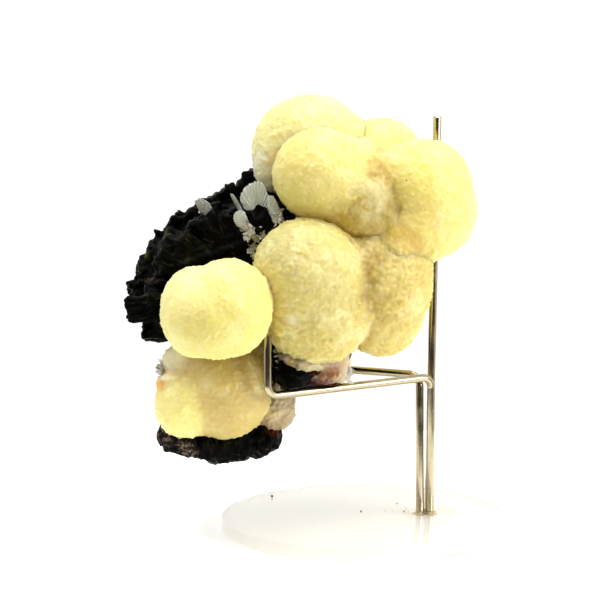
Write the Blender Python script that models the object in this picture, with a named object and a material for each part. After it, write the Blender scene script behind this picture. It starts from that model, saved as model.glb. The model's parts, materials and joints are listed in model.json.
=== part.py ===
"""A stilbite and epidote specimen on a rod stand.

Metres, +Z up. The origin is the middle of the clear disc's underside. A viewer of the side that
the photograph shows looks along +Y, with +X to the right. The front of the display is at -X.
"""
import math
import random

import bmesh
import bpy
from mathutils import Vector, noise

MM = 0.001
GAP = 0.3 * MM              # clearance between pieces that touch
MERGE_DISTANCES = (0.02 * MM, 0.005 * MM, 0.001 * MM, 0.0)

# The clear disc and its rods
BASE_RADIUS = 35.9 * MM
BASE_THICKNESS = 3.5 * MM
BASE_EDGE = 0.45 * MM
BASE_SIDES = 44
ROD_RADIUS = 1.0 * MM
ROD_END_LEVEL = 1.3 * MM    # how far above the disc's underside the rods end
ROD_BEND_RADIUS = 2.3 * MM
ROD_BEND_STEPS = 5
SOCKET_SIDES = 12
ARM_LENGTH = 49.3 * MM
NEAR_LEG = (16.85, 1.2)     # the legs' places on the disc, in millimetres
FAR_LEG = (14.45, 1.2)
BACK_ROD_FOOT = (16.6, 3.65)
NEAR_CORNER = (17.05, 1.2, 38.6)
FAR_CORNER = (14.15, 2.4, 38.9)
BACK_ROD_TOP = (18.2, 3.5, 103.9)
NEAR_ARM_ANGLE = 214.1      # degrees from +X, seen from above
FAR_ARM_ANGLE = 156.4
HOOK_HEIGHT = 15.0 * MM

# The stilbite balls: centre and half-widths in millimetres, along X, Y and Z
UPPER_BALLS = {
    "heart": ((-6.0, -2.0, 74.0), (12.5, 13.5, 17.5)),
    "top": ((-13.2, -2.0, 96.2), (13.9, 12.6, 13.2)),
    "upper_front": ((-10.2, -15.0, 89.6), (12.6, 12.2, 12.9)),
    "upper_middle": ((4.6, 1.0, 93.4), (9.9, 10.5, 10.2)),
    "middle": ((1.8, -6.5, 78.6), (9.8, 9.6, 10.8)),
    "right_upper": ((15.0, -11.0, 88.0), (10.6, 11.4, 11.2)),
    "right_lower": ((17.0, -10.4, 81.6), (10.0, 11.6, 11.2)),
    "centre": ((-14.3, -21.8, 68.0), (13.1, 12.6, 13.0)),
    "centre_low": ((-11.8, -19.5, 56.9), (11.3, 11.0, 11.4)),
    "right_side": ((7.4, -8.6, 63.4), (9.7, 10.4, 10.6)),
    "right_side_low": ((4.2, -9.4, 56.8), (9.7, 10.0, 10.4)),
    "left_main": ((-34.2, -31.4, 61.4), (11.9, 11.6, 12.4)),
    "left_side": ((-40.3, -29.8, 60.4), (9.2, 10.0, 11.5)),
    "far_upper": ((-17.0, 16.5, 82.0), (11.4, 10.6, 11.2)),
    "far_right": ((3.5, 14.5, 72.5), (11.6, 11.2, 11.8)),
    "far_low": ((-9.0, 15.5, 56.0), (10.2, 9.4, 9.8)),
}
FAR_BALLS = {
    "far_left": ((-34.5, 16.0, 65.0), (9.6, 9.2, 10.0)),
    "far_left_small": ((-43.0, 14.5, 58.6), (6.0, 6.2, 6.6)),
}
LOWER_BALLS = {
    "lower_main": ((-34.2, -15.0, 38.0), (11.1, 10.6, 11.9)),
    "lower_left": ((-43.5, -16.0, 38.4), (7.7, 8.6, 10.4)),
    "lower_right": ((-23.3, -8.6, 33.2), (6.1, 6.4, 6.6)),
}
# White crust and small blocks at the feet of the upper balls, in the same form
CRUST_LUMPS = {
    "top_corner": ((-24.9, -9.0, 92.2), (3.2, 3.0, 3.0)),
    "under_left": ((-19.2, -22.2, 47.8), (2.7, 3.4, 2.8)),
    "under_middle": ((-14.6, -22.6, 46.0), (4.0, 4.2, 3.0)),
    "under_right": ((-9.4, -20.6, 45.4), (4.4, 4.8, 2.9)),
    "fringe": ((-5.2, -17.2, 44.4), (2.6, 4.2, 3.4)),
}
LOWER_LUMPS = {
    "left_sprig": ((-50.6, -16.0, 43.6), (1.6, 2.4, 2.4)),
}
TIP_SPACING = 4.25 * MM    # from one crystal tip or hollow to the next
TIP_HEIGHT = 0.62 * MM
HOLLOW_SHARES = (0.1, 0.8)  # a hollow's depth as a share of a tip's height
LUMP_HEIGHT = 0.35 * MM
LUMP_WIDTH = 6.0 * MM

# The epidote fan: crystals that radiate from a line along Y to this outline
FAN_CENTRE = (-25.0, 62.0)
FAN_OUTLINE = [             # degrees from +X, seen from the viewer's side, and reach in millimetres
    (84, 27.0), (99, 27.4), (114, 26.6), (129, 27.2), (143, 28.8), (156, 30.8), (169, 32.2),
    (182, 34.2), (193, 31.4), (204, 27.4),
]
FAN_LAYERS = [              # place along Y, share of the reach, and how far the crystals splay along Y
    (-8.5, 0.92, -0.18), (-1.0, 1.0, 0.0), (6.0, 0.9, 0.26),
]
FAN_CRYSTAL = (8.8, 10.0)   # width and depth of one crystal
FAN_ROOT = 7.0              # how far from the line the crystals start
FAN_SHORTER = 3.2           # how much shorter than the outline the crystals of the outer layers may be
LAYER_TURN = 4.0            # degrees from one layer's crystals to the next one's
RIBS = 3
RIB_SHARE = 0.86            # the radius between two ribs, and the free end's size
END_SLANT = 0.35

# Single epidote crystals: foot, tip, width, depth
SINGLE_CRYSTALS = {
    "ridge": ((-46.0, -16.4, 69.6), (-27.6, -15.0, 76.6), 5.4, 5.0),
    "round_block": ((-26.0, -6.0, 78.6), (-26.2, -14.0, 81.4), 6.6, 7.8),
    "upright_left": ((-47.6, -12.6, 62.0), (-49.2, -13.4, 75.4), 4.6, 4.4),
    "upright_middle": ((-44.0, -13.6, 63.0), (-45.4, -14.4, 76.0), 4.4, 4.4),
    "left_block": ((-42.0, -14.0, 58.4), (-59.2, -12.4, 58.2), 8.0, 6.4),
    "left_step": ((-40.0, -13.0, 51.6), (-55.0, -11.4, 51.8), 5.6, 6.0),
    "upper_block": ((-36.0, -12.0, 74.0), (-37.6, -13.4, 84.2), 6.6, 5.2),
    "inner_block": ((-25.0, -4.0, 66.0), (-20.4, -6.6, 83.6), 9.0, 8.0),
}
# The black piece under the lower balls
KEEL_CRYSTALS = {
    "left": ((-30.0, -8.0, 28.0), (-50.4, -10.0, 26.8), 6.2, 9.0),
    "left_front": ((-28.0, -13.0, 26.0), (-44.8, -16.0, 24.2), 5.6, 7.0),
    "middle": ((-28.0, -6.0, 30.0), (-36.4, -9.0, 21.2), 9.6, 8.6),
    "middle_front": ((-26.0, -11.0, 28.0), (-31.5, -14.0, 21.0), 8.4, 7.0),
    "right": ((-28.0, -4.0, 30.0), (-24.4, -7.0, 20.2), 8.0, 8.0),
    "right_side": ((-30.0, -4.0, 26.0), (-20.8, -6.4, 24.4), 5.4, 8.0),
    "far_side": ((-30.0, -4.0, 30.0), (-36.0, 4.0, 20.6), 9.0, 8.0),
}
# Rock that the crystals grew on: centre and half-widths
ROCK_LUMPS = {
    "seat": ((-13.6, -2.0, 48.6), (10.8, 22.0, 13.0)),
    "cluster_heart": ((-33.0, -1.0, 65.6), (18.4, 14.0, 16.6)),
    "neck": ((-29.0, 2.0, 40.0), (9.0, 8.0, 15.0)),
}
ROCK_ROUGHNESS = 1.2 * MM
ROCK_GRAIN = 5.0 * MM
ARM_TOP_LEVEL = 40.2 * MM   # the rock's flat seat on the arms

# White leaves: centre, half-width, half-height
BLADE_THICKNESS = 0.75      # half of a leaf's thickness
LEAF_POINTS = 14
LEAF_WAIST = 0.12           # how much wider than its middle a leaf is near its top
FAN_BLADE = ((-26.8, -15.9, 83.2), 3.5, 5.4)
LENS_BLADE = ((-30.3, -16.9, 80.2), 2.1, 3.3)
# White prisms: foot, tip, width, depth
BAR_BLADE = ((-32.5, -17.6, 86.4), (-28.2, -17.2, 78.6), 1.5, 1.5)
LOWER_BLADE = ((-29.0, -17.3, 79.4), (-27.4, -17.9, 75.6), 3.4, 2.2)
LEFT_CRYSTAL = ((-42.2, -14.0, 84.4), (-37.4, -15.4, 80.8), 4.0, 3.4)


def remove_everything():
    for old in list(bpy.data.objects):
        bpy.data.objects.remove(old, do_unlink=True)


def make_material(name, colour, roughness, metallic=0.0, transmission=0.0, ior=1.5):
    material = bpy.data.materials.new(name)
    material.use_nodes = True
    shader = material.node_tree.nodes["Principled BSDF"]
    shader.inputs["Base Color"].default_value = (*colour, 1.0)
    shader.inputs["Roughness"].default_value = roughness
    shader.inputs["Metallic"].default_value = metallic
    shader.inputs["Transmission Weight"].default_value = transmission
    shader.inputs["IOR"].default_value = ior
    material.diffuse_color = (*colour, 1.0)
    return material


def to_metres(values):
    return Vector(value * MM for value in values)


def object_from(name, mesh_data):
    mesh = bpy.data.meshes.new(name)
    mesh_data.to_mesh(mesh)
    mesh_data.free()
    piece = bpy.data.objects.new(name, mesh)
    bpy.context.scene.collection.objects.link(piece)
    return piece


def closed_between(name, mesh_data, rings):
    """A solid whose side runs between two rings of points, with a flat face in each ring."""
    points = len(rings[0])
    for index in range(points):
        after = (index + 1) % points
        mesh_data.faces.new((rings[0][index], rings[0][after], rings[1][after], rings[1][index]))
    mesh_data.faces.new(rings[0])
    mesh_data.faces.new(rings[1])
    bmesh.ops.recalc_face_normals(mesh_data, faces=mesh_data.faces)
    return object_from(name, mesh_data)


# Solids joined and cut

def solid_after(base, others, operation):
    """Returns the base's mesh joined with, or cut by, all the other solids."""
    helpers = bpy.data.collections.new("helpers")
    bpy.context.scene.collection.children.link(helpers)
    for other in others:
        helpers.objects.link(other)
    change = base.modifiers.new("change", "BOOLEAN")
    change.operation = operation
    change.operand_type = "COLLECTION"
    change.collection = helpers
    change.solver = "EXACT"
    change.use_self = operation == "UNION"
    shown = base.evaluated_get(bpy.context.evaluated_depsgraph_get())
    result = bpy.data.meshes.new_from_object(shown)
    base.modifiers.clear()
    bpy.data.collections.remove(helpers)
    return result


def replace_mesh(piece, mesh):
    old = piece.data
    piece.data = mesh
    bpy.data.meshes.remove(old)


def islands_of(mesh_data):
    """Groups the faces that hang together, the largest group first."""
    waiting = set(mesh_data.faces)
    islands = []
    while waiting:
        unexplored = [waiting.pop()]
        island = list(unexplored)
        while unexplored:
            face = unexplored.pop()
            for edge in face.edges:
                for neighbour in edge.link_faces:
                    if neighbour in waiting:
                        waiting.remove(neighbour)
                        unexplored.append(neighbour)
                        island.append(neighbour)
        islands.append(island)
    return sorted(islands, key=len, reverse=True)


def tidied(mesh, merge_distance):
    """Splits the faces into triangles and merges points that lie closer than the distance."""
    mesh_data = bmesh.new()
    mesh_data.from_mesh(mesh)
    bmesh.ops.triangulate(mesh_data, faces=mesh_data.faces)
    if merge_distance > 0.0:
        bmesh.ops.remove_doubles(mesh_data, verts=mesh_data.verts, dist=merge_distance)
        bmesh.ops.dissolve_degenerate(mesh_data, edges=mesh_data.edges, dist=merge_distance / 2.0)
        bmesh.ops.triangulate(mesh_data, faces=mesh_data.faces)
    return mesh_data


def keep_largest_body(piece):
    """Drops crumbs and closed hollows, and merges points as far as the surface stays closed."""
    for merge_distance in MERGE_DISTANCES:
        mesh_data = tidied(piece.data, merge_distance)
        if all(len(edge.link_faces) == 2 for edge in mesh_data.edges):
            break
        if merge_distance != MERGE_DISTANCES[-1]:
            mesh_data.free()
    for island in islands_of(mesh_data)[1:]:
        bmesh.ops.delete(mesh_data, geom=island, context="FACES")
    mesh_data.to_mesh(piece.data)
    mesh_data.free()


def join_solids(name, pieces):
    """Joins overlapping solids into one, which takes the name."""
    base, others = pieces[0], pieces[1:]
    replace_mesh(base, solid_after(base, others, "UNION"))
    for other in others:
        bpy.data.objects.remove(other)
    keep_largest_body(base)
    base.name = name
    return base


def cut_solid(piece, cutters):
    """Cuts the solid by the others, which are then removed."""
    for cutter in cutters:
        replace_mesh(piece, solid_after(piece, [cutter], "DIFFERENCE"))
        bpy.data.objects.remove(cutter)
    keep_largest_body(piece)


def finish_piece(piece, material, smooth_angle=None):
    piece.data.materials.clear()
    piece.data.materials.append(material)
    piece.data.name = piece.name
    if smooth_angle is not None:
        piece.data.shade_smooth()
        piece.data.set_sharp_from_angle(angle=math.radians(smooth_angle))
    return piece


# The stand

def rounded_route(corners, radius, steps):
    """Points along straight runs whose corners are rounded by arcs."""
    route = [corners[0]]
    for before, corner, after in zip(corners, corners[1:], corners[2:]):
        inward = (before - corner).normalized()
        outward = (after - corner).normalized()
        half_angle = inward.angle(outward) / 2.0
        centre = corner + (inward + outward).normalized() * radius / math.sin(half_angle)
        start = corner + inward * radius / math.tan(half_angle) - centre
        end = corner + outward * radius / math.tan(half_angle) - centre
        for step in range(steps + 1):
            route.append(centre + start.slerp(end, step / steps).normalized() * radius)
    route.append(corners[-1])
    return route


def make_rod(name, corners):
    """A round steel rod with flat cut ends."""
    curve = bpy.data.curves.new(name, "CURVE")
    curve.dimensions = "3D"
    curve.bevel_depth = ROD_RADIUS
    curve.bevel_resolution = 3
    curve.use_fill_caps = True
    route = rounded_route(corners, ROD_BEND_RADIUS, ROD_BEND_STEPS)
    spline = curve.splines.new("POLY")
    spline.points.add(len(route) - 1)
    for point, place in zip(spline.points, route):
        point.co = (*place, 1.0)
    guide = bpy.data.objects.new(name + "_route", curve)
    bpy.context.scene.collection.objects.link(guide)
    shown = guide.evaluated_get(bpy.context.evaluated_depsgraph_get())
    mesh_data = bmesh.new()
    mesh_data.from_mesh(bpy.data.meshes.new_from_object(shown))
    bpy.data.objects.remove(guide)
    bmesh.ops.remove_doubles(mesh_data, verts=mesh_data.verts, dist=0.01 * MM)
    bmesh.ops.recalc_face_normals(mesh_data, faces=mesh_data.faces)
    return object_from(name, mesh_data)


def arm_rod_corners(leg, corner, angle):
    """Foot, corner of leg and arm, corner of arm and hook, and the hook's end."""
    foot = Vector((leg[0] * MM, leg[1] * MM, ROD_END_LEVEL))
    elbow = to_metres(corner)
    along = Vector((math.cos(math.radians(angle)), math.sin(math.radians(angle)), 0.0))
    hook_foot = elbow + along * ARM_LENGTH
    hook_end = hook_foot + Vector((0.0, 0.0, HOOK_HEIGHT))
    return [foot, elbow, hook_foot, hook_end]


def make_cylinder(name, centre, radius, low, high, sides):
    mesh_data = bmesh.new()
    bmesh.ops.create_cone(mesh_data, cap_ends=True, segments=sides, radius1=radius, radius2=radius,
                          depth=high - low)
    bmesh.ops.translate(mesh_data, verts=mesh_data.verts, vec=(centre[0], centre[1], (low + high) / 2.0))
    return object_from(name, mesh_data)


def make_base():
    """A clear disc with blind sockets for the three rods."""
    base = make_cylinder("base_disc", (0.0, 0.0), BASE_RADIUS, 0.0, BASE_THICKNESS, BASE_SIDES)
    mesh_data = bmesh.new()
    mesh_data.from_mesh(base.data)
    rims = [edge for edge in mesh_data.edges if abs(edge.verts[0].co.z - edge.verts[1].co.z) < BASE_EDGE]
    bmesh.ops.bevel(mesh_data, geom=rims, offset=BASE_EDGE, segments=1, profile=0.5, affect="EDGES")
    mesh_data.to_mesh(base.data)
    mesh_data.free()
    sockets = []
    for foot in (NEAR_LEG, FAR_LEG, BACK_ROD_FOOT):
        centre = (foot[0] * MM, foot[1] * MM)
        sockets.append(make_cylinder("socket", centre, ROD_RADIUS + GAP, ROD_END_LEVEL - GAP,
                                     BASE_THICKNESS + MM, SOCKET_SIDES))
    cut_solid(base, [join_solids("sockets", sockets)])
    return base


# The stilbite balls

def even_directions(count):
    """Directions spread evenly over a sphere along a spiral."""
    turn = math.pi * (3.0 - math.sqrt(5.0))
    for index in range(count):
        height = 1.0 - 2.0 * (index + 0.5) / count
        across = math.sqrt(1.0 - height * height)
        yield Vector((math.cos(turn * index) * across, math.sin(turn * index) * across, height))


def make_ball(name, shape, grow=0.0):
    """A ball of small crystals: flat facets between raised tips and low points."""
    centre, half = to_metres(shape[0]), to_metres(shape[1])
    size = (half.x + half.y + half.z) / 3.0
    area_of_one = math.sqrt(3.0) / 2.0 * TIP_SPACING ** 2
    count = int(4.0 * math.pi * size ** 2 / area_of_one)
    chance = random.Random(name)
    mesh_data = bmesh.new()
    for direction in even_directions(count):
        mesh_data.verts.new(direction)
    bmesh.ops.convex_hull(mesh_data, input=mesh_data.verts)
    mesh_data.verts.ensure_lookup_table()
    for index, point in enumerate(mesh_data.verts):
        direction = point.co.normalized()
        tip = TIP_HEIGHT if index % 3 == 0 else -TIP_HEIGHT * chance.uniform(*HOLLOW_SHARES)
        place = centre + Vector(direction[axis] * half[axis] for axis in range(3))
        lump = noise.noise(place / LUMP_WIDTH) * LUMP_HEIGHT
        point.co = place + direction * (tip + lump + grow)
    bmesh.ops.recalc_face_normals(mesh_data, faces=mesh_data.faces)
    return object_from(name, mesh_data)


def make_balls(shapes, grow=0.0):
    return [make_ball(name, shape, grow) for name, shape in shapes.items()]


# The epidote

def make_crystal(name, foot, tip, width, depth, grow=0.0):
    """A striated prism: ribs along its length, flat ends, the free one slanting."""
    chance = random.Random(name)
    axis = (tip - foot).normalized()
    side = axis.cross(Vector((0.0, 1.0, 0.0)))
    side.normalize()
    up = axis.cross(side)
    slant = chance.uniform(-END_SLANT, END_SLANT)
    turn = chance.uniform(-0.3, 0.3)
    points = 2 * RIBS + 2
    mesh_data = bmesh.new()
    rings = []
    for place, scale, lean in ((foot - axis * grow, 1.0, 0.0), (tip + axis * grow, RIB_SHARE, slant)):
        ring = []
        for index in range(points):
            angle = 2.0 * math.pi * index / points + turn
            rib = 1.0 if index % 2 == 0 else RIB_SHARE
            across = math.cos(angle) * (width / 2.0 * rib * scale + grow)
            through = math.sin(angle) * (depth / 2.0 * rib * scale + grow)
            ring.append(mesh_data.verts.new(place + side * across + up * through + axis * across * lean))
        rings.append(ring)
    return closed_between(name, mesh_data, rings)


def make_fan_crystals():
    """Crystals that radiate to the cluster's outline, in layers from the viewer's side to the far one."""
    chance = random.Random("fan")
    crystals = []
    for layer, (depth_place, share, splay) in enumerate(FAN_LAYERS):
        for index, (degrees, reach) in enumerate(FAN_OUTLINE):
            angle = math.radians(degrees + (layer % 2) * LAYER_TURN)
            shorter = 0.0 if share == 1.0 else chance.uniform(0.0, FAN_SHORTER)
            out = Vector((math.cos(angle), splay + chance.uniform(-0.07, 0.07), math.sin(angle)))
            start = Vector((FAN_CENTRE[0], depth_place, FAN_CENTRE[1]))
            foot = (start + out * FAN_ROOT) * MM
            tip = (start + out * (reach * share - shorter)) * MM
            width = FAN_CRYSTAL[0] * chance.uniform(0.85, 1.15) * MM
            name = f"fan_{layer}_{index}"
            crystals.append(make_crystal(name, foot, tip, width, FAN_CRYSTAL[1] * MM))
    return crystals


def make_listed_crystals(crystals):
    made = []
    for name, (foot, tip, width, depth) in crystals.items():
        made.append(make_crystal(name, to_metres(foot), to_metres(tip), width * MM, depth * MM))
    return made


def make_rock(name, shape):
    """A broken lump of rock. The lumps over the arms are flat underneath, and the seat shows most."""
    centre, half = to_metres(shape[0]), to_metres(shape[1])
    mesh_data = bmesh.new()
    detail = 3 if name == "seat" else 2
    bmesh.ops.create_icosphere(mesh_data, subdivisions=detail, radius=1.0)
    for point in mesh_data.verts:
        direction = point.co.normalized()
        place = centre + Vector(direction[axis] * half[axis] for axis in range(3))
        rough = noise.noise(place / ROCK_GRAIN) * ROCK_ROUGHNESS
        point.co = place + direction * rough
        if name != "neck":
            point.co.z = max(point.co.z, ARM_TOP_LEVEL)
    return object_from(name, mesh_data)


def make_epidote(cutters):
    pieces = [make_rock(name, shape) for name, shape in ROCK_LUMPS.items()]
    pieces += make_fan_crystals()
    pieces += make_listed_crystals(SINGLE_CRYSTALS)
    pieces += make_listed_crystals(KEEL_CRYSTALS)
    cluster = join_solids("epidote_cluster", pieces)
    cut_solid(cluster, cutters)
    return cluster


# The white blades

def make_leaf(name, shape, grow=0.0):
    """A thin blade with a rounded outline, facing the viewer."""
    centre, half_width, half_height = to_metres(shape[0]), shape[1] * MM + grow, shape[2] * MM + grow
    thick = BLADE_THICKNESS * MM + grow
    mesh_data = bmesh.new()
    rings = []
    for depth in (-thick, thick):
        ring = []
        for index in range(LEAF_POINTS):
            angle = 2.0 * math.pi * index / LEAF_POINTS
            waist = 1.0 + LEAF_WAIST * math.sin(angle)
            place = Vector((math.cos(angle) * half_width * waist, depth, math.sin(angle) * half_height))
            ring.append(mesh_data.verts.new(centre + place))
        rings.append(ring)
    return closed_between(name, mesh_data, rings)


def make_bar(name, shape, grow=0.0):
    foot, tip, width, depth = shape
    return make_crystal(name, to_metres(foot), to_metres(tip), width * MM, depth * MM, grow)


def make_blades(grow=0.0):
    pieces = [make_leaf("fan_blade", FAN_BLADE, grow), make_leaf("lens_blade", LENS_BLADE, grow)]
    pieces += [make_bar("bar_blade", BAR_BLADE, grow), make_bar("lower_blade", LOWER_BLADE, grow)]
    return join_solids("stilbite_blades", pieces)


def build():
    remove_everything()
    steel = make_material("bright_steel", (0.62, 0.60, 0.56), 0.22, metallic=1.0)
    clear = make_material("clear_acrylic", (0.95, 0.95, 0.93), 0.05, transmission=1.0, ior=1.49)
    yellow = make_material("yellow_stilbite", (0.87, 0.80, 0.42), 0.55)
    white = make_material("white_stilbite", (0.80, 0.80, 0.74), 0.40)
    black_green = make_material("epidote", (0.016, 0.018, 0.010), 0.35)

    finish_piece(make_base(), clear, 35)
    near = make_rod("near_arm_rod", arm_rod_corners(NEAR_LEG, NEAR_CORNER, NEAR_ARM_ANGLE))
    far = make_rod("far_arm_rod", arm_rod_corners(FAR_LEG, FAR_CORNER, FAR_ARM_ANGLE))
    back_foot = Vector((BACK_ROD_FOOT[0] * MM, BACK_ROD_FOOT[1] * MM, ROD_END_LEVEL))
    back = make_rod("back_rod", [back_foot, to_metres(BACK_ROD_TOP)])
    for rod in (near, far, back):
        finish_piece(rod, steel, 50)

    upper = UPPER_BALLS | CRUST_LUMPS
    lower = LOWER_BALLS | LOWER_LUMPS
    finish_piece(join_solids("stilbite_balls", make_balls(upper)), yellow)
    finish_piece(join_solids("stilbite_balls_lower", make_balls(lower)), yellow)
    finish_piece(join_solids("stilbite_balls_far", make_balls(FAR_BALLS)), yellow)
    finish_piece(make_blades(), white)
    finish_piece(make_bar("stilbite_crystal_left", LEFT_CRYSTAL), white)

    cutters = [join_solids("upper_cutter", make_balls(upper, GAP)),
               join_solids("lower_cutter", make_balls(lower, GAP)),
               join_solids("far_cutter", make_balls(FAR_BALLS, GAP)),
               make_blades(GAP), make_bar("stilbite_crystal_left", LEFT_CRYSTAL, GAP)]
    finish_piece(make_epidote(cutters), black_green)


build()
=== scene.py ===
"""The looks of a stilbite and epidote specimen on its rod stand, built around its solid model.

Metres, +Z up. The origin is the middle of the clear disc's underside. Sizes and places in the
sections are in millimetres. The photograph's viewer looks along +Y, with +X to the right.
"""

import itertools
import json
import math
import random

import bmesh
import bpy
import numpy as np
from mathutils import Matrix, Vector, noise
from mathutils.bvhtree import BVHTree

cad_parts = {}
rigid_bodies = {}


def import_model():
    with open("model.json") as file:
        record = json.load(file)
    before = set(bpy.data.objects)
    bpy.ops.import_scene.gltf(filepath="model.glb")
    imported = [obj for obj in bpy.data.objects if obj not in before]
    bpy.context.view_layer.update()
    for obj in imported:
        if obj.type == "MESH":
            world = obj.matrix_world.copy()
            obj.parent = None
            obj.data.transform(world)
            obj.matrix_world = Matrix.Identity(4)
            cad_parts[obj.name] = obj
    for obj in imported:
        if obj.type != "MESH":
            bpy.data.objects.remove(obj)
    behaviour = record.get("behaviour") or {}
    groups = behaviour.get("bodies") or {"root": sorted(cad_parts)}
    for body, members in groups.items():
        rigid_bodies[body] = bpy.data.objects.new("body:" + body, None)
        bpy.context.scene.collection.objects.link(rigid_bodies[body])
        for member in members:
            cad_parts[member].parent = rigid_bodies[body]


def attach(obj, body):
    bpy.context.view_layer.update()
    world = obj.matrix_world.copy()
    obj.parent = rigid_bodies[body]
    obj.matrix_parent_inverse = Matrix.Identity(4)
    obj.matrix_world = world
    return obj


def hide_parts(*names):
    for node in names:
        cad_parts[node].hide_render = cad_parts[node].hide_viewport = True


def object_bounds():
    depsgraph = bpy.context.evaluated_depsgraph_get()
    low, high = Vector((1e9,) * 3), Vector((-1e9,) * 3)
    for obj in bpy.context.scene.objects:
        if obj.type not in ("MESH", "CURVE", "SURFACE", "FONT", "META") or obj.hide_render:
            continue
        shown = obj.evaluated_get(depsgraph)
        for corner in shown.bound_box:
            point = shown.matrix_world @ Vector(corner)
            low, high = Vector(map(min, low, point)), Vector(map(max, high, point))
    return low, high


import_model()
solid_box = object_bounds()


# The clear disc
# A disc of cast acrylic, 3.5 mm thick, turned and polished, with a faint warm tint at its rim. The
# rods are glued into it, so that they show right down to their ends.

MM = 0.001
DISC_RADIUS = 35.9
DISC_THICKNESS = 3.5
DISC_EDGE = 0.45
DISC_SIDES = 144
DISC_EDGE_STEPS = 5


def linear(hex_colour):
    """An sRGB hex colour as linear red, green, blue and alpha."""
    values = [int(hex_colour[start:start + 2], 16) / 255.0 for start in (0, 2, 4)]
    return tuple(v / 12.92 if v <= 0.04045 else ((v + 0.055) / 1.055) ** 2.4 for v in values) + (1.0,)


def fill_inputs(tree, node, inputs):
    """Sets inputs, by name or else in order, to values, to outputs or to other nodes' first outputs."""
    by_name = isinstance(inputs, dict)
    in_use = [socket for socket in node.inputs if socket.enabled]
    for key, value in inputs.items() if by_name else enumerate(inputs):
        socket = node.inputs[key] if by_name else in_use[key]
        if isinstance(value, bpy.types.Node):
            value = next(output for output in value.outputs if output.enabled)
        if isinstance(value, bpy.types.NodeSocket):
            tree.links.new(value, socket)
        else:
            socket.default_value = value


def add_node(tree, kind, inputs=(), **settings):
    """Adds a node, by its type with or without ShaderNode before it, and sets it up."""
    node = tree.nodes.new(kind if "Node" in kind else "ShaderNode" + kind)
    for name, value in settings.items():
        setattr(node, name, value)
    fill_inputs(tree, node, inputs)
    return node


def new_material(name, **values):
    """A material, its node tree and its shader, whose sockets are set by name."""
    material = bpy.data.materials.new(name)
    material.use_nodes = True
    tree = material.node_tree
    shader = tree.nodes["Principled BSDF"]
    fill_inputs(tree, shader, {socket.replace("_", " "): value for socket, value in values.items()})
    return material, tree, shader


def object_place(tree):
    """Object coordinates in millimetres."""
    place = add_node(tree, "TexCoord").outputs["Object"]
    return add_node(tree, "VectorMath", (place, 1.0 / MM), operation="SCALE")


def mottled_material(name, scale, detail, colours, roughness, spread=(0.0, 1.0), **values):
    """A material whose colour and gloss vary with one noise, the gloss over a spread of its values."""
    material, tree, shader = new_material(name, **values)
    mottle = add_node(tree, "TexNoise", {"Vector": object_place(tree), "Scale": scale, "Detail": detail})
    fill_inputs(tree, shader, {
        "Base Color": add_node(tree, "Mix", (mottle, *map(linear, colours)), data_type="RGBA"),
        "Roughness": add_node(tree, "MapRange", (mottle, *spread, *roughness))})
    return material


def add_piece(name, shape, material=None, sharp_angle=None, home=None):
    """An object from a bmesh, in a collection or else in the scene. Edges over the angle stay sharp."""
    mesh = bpy.data.meshes.new(name)
    shape.to_mesh(mesh)
    shape.free()
    if sharp_angle is not None:
        mesh.shade_smooth()
        mesh.set_sharp_from_angle(angle=math.radians(sharp_angle))
    if material is not None:
        mesh.materials.append(material)
    piece = bpy.data.objects.new(name, mesh)
    (bpy.context.scene.collection if home is None else home).objects.link(piece)
    return piece


def piece_from(name, points, faces, material=None, sharp_angle=None, unit=MM, home=None):
    """A piece from points in millimetres or another unit, with its faces turned outwards."""
    shape = bmesh.new()
    corners = [shape.verts.new(Vector(point) * unit) for point in points]
    for face in faces:
        shape.faces.new([corners[index] for index in face])
    bmesh.ops.recalc_face_normals(shape, faces=shape.faces)
    return add_piece(name, shape, material, sharp_angle, home)


def turned_shape(profile, sides, centre=(0.0, 0.0)):
    """Points and faces of a shape turned about a vertical line. The profile's ends lie on the line."""
    points = [(centre[0], centre[1], profile[0][1]), (centre[0], centre[1], profile[-1][1])]
    rings = profile[1:-1]
    for radius, height in rings:
        for side in range(sides):
            angle = 2.0 * math.pi * side / sides
            points.append((centre[0] + radius * math.cos(angle), centre[1] + radius * math.sin(angle),
                           height))
    faces = []
    for side in range(sides):
        after = (side + 1) % sides
        faces.append((0, 2 + after, 2 + side))
        last = 2 + (len(rings) - 1) * sides
        faces.append((1, last + side, last + after))
        for ring in range(len(rings) - 1):
            low = 2 + ring * sides
            faces.append((low + side, low + after, low + sides + after, low + sides + side))
    return points, faces


def rounded_edge(radius, height, inset, start, turn, steps):
    """Profile points round a quarter circle, from one angle by a turn, in degrees."""
    arc = []
    for step in range(steps + 1):
        angle = math.radians(start + turn * step / steps)
        arc.append((radius + inset * math.cos(angle), height + inset * math.sin(angle)))
    return arc


# Cast acrylic: clear, IOR 1.49, polished, with hairline scratches and a slight warm cast
acrylic = mottled_material("polished_clear_acrylic", 0.12, 5.0, ("FFFEFA", "FFF8E6"), (0.015, 0.06),
                           (0.4, 0.7), IOR=1.49, Transmission_Weight=1.0)

inner = DISC_RADIUS - DISC_EDGE
disc_profile = [(0.0, 0.0)]
disc_profile += rounded_edge(inner, DISC_EDGE, DISC_EDGE, -90.0, 90.0, DISC_EDGE_STEPS)
disc_profile += rounded_edge(inner, DISC_THICKNESS - DISC_EDGE, DISC_EDGE, 0.0, 90.0, DISC_EDGE_STEPS)
disc_profile += [(0.0, DISC_THICKNESS)]
disc = piece_from("clear_disc", *turned_shape(disc_profile, DISC_SIDES), acrylic, 40.0)
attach(disc, "root")
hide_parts("base_disc")


# The rods
# Three lengths of 2 mm bright-drawn stainless rod. Two are bent into leg, arm and hook, and the
# straight one stands behind the specimen. Their ends are cut square, with the burr taken off.

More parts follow.
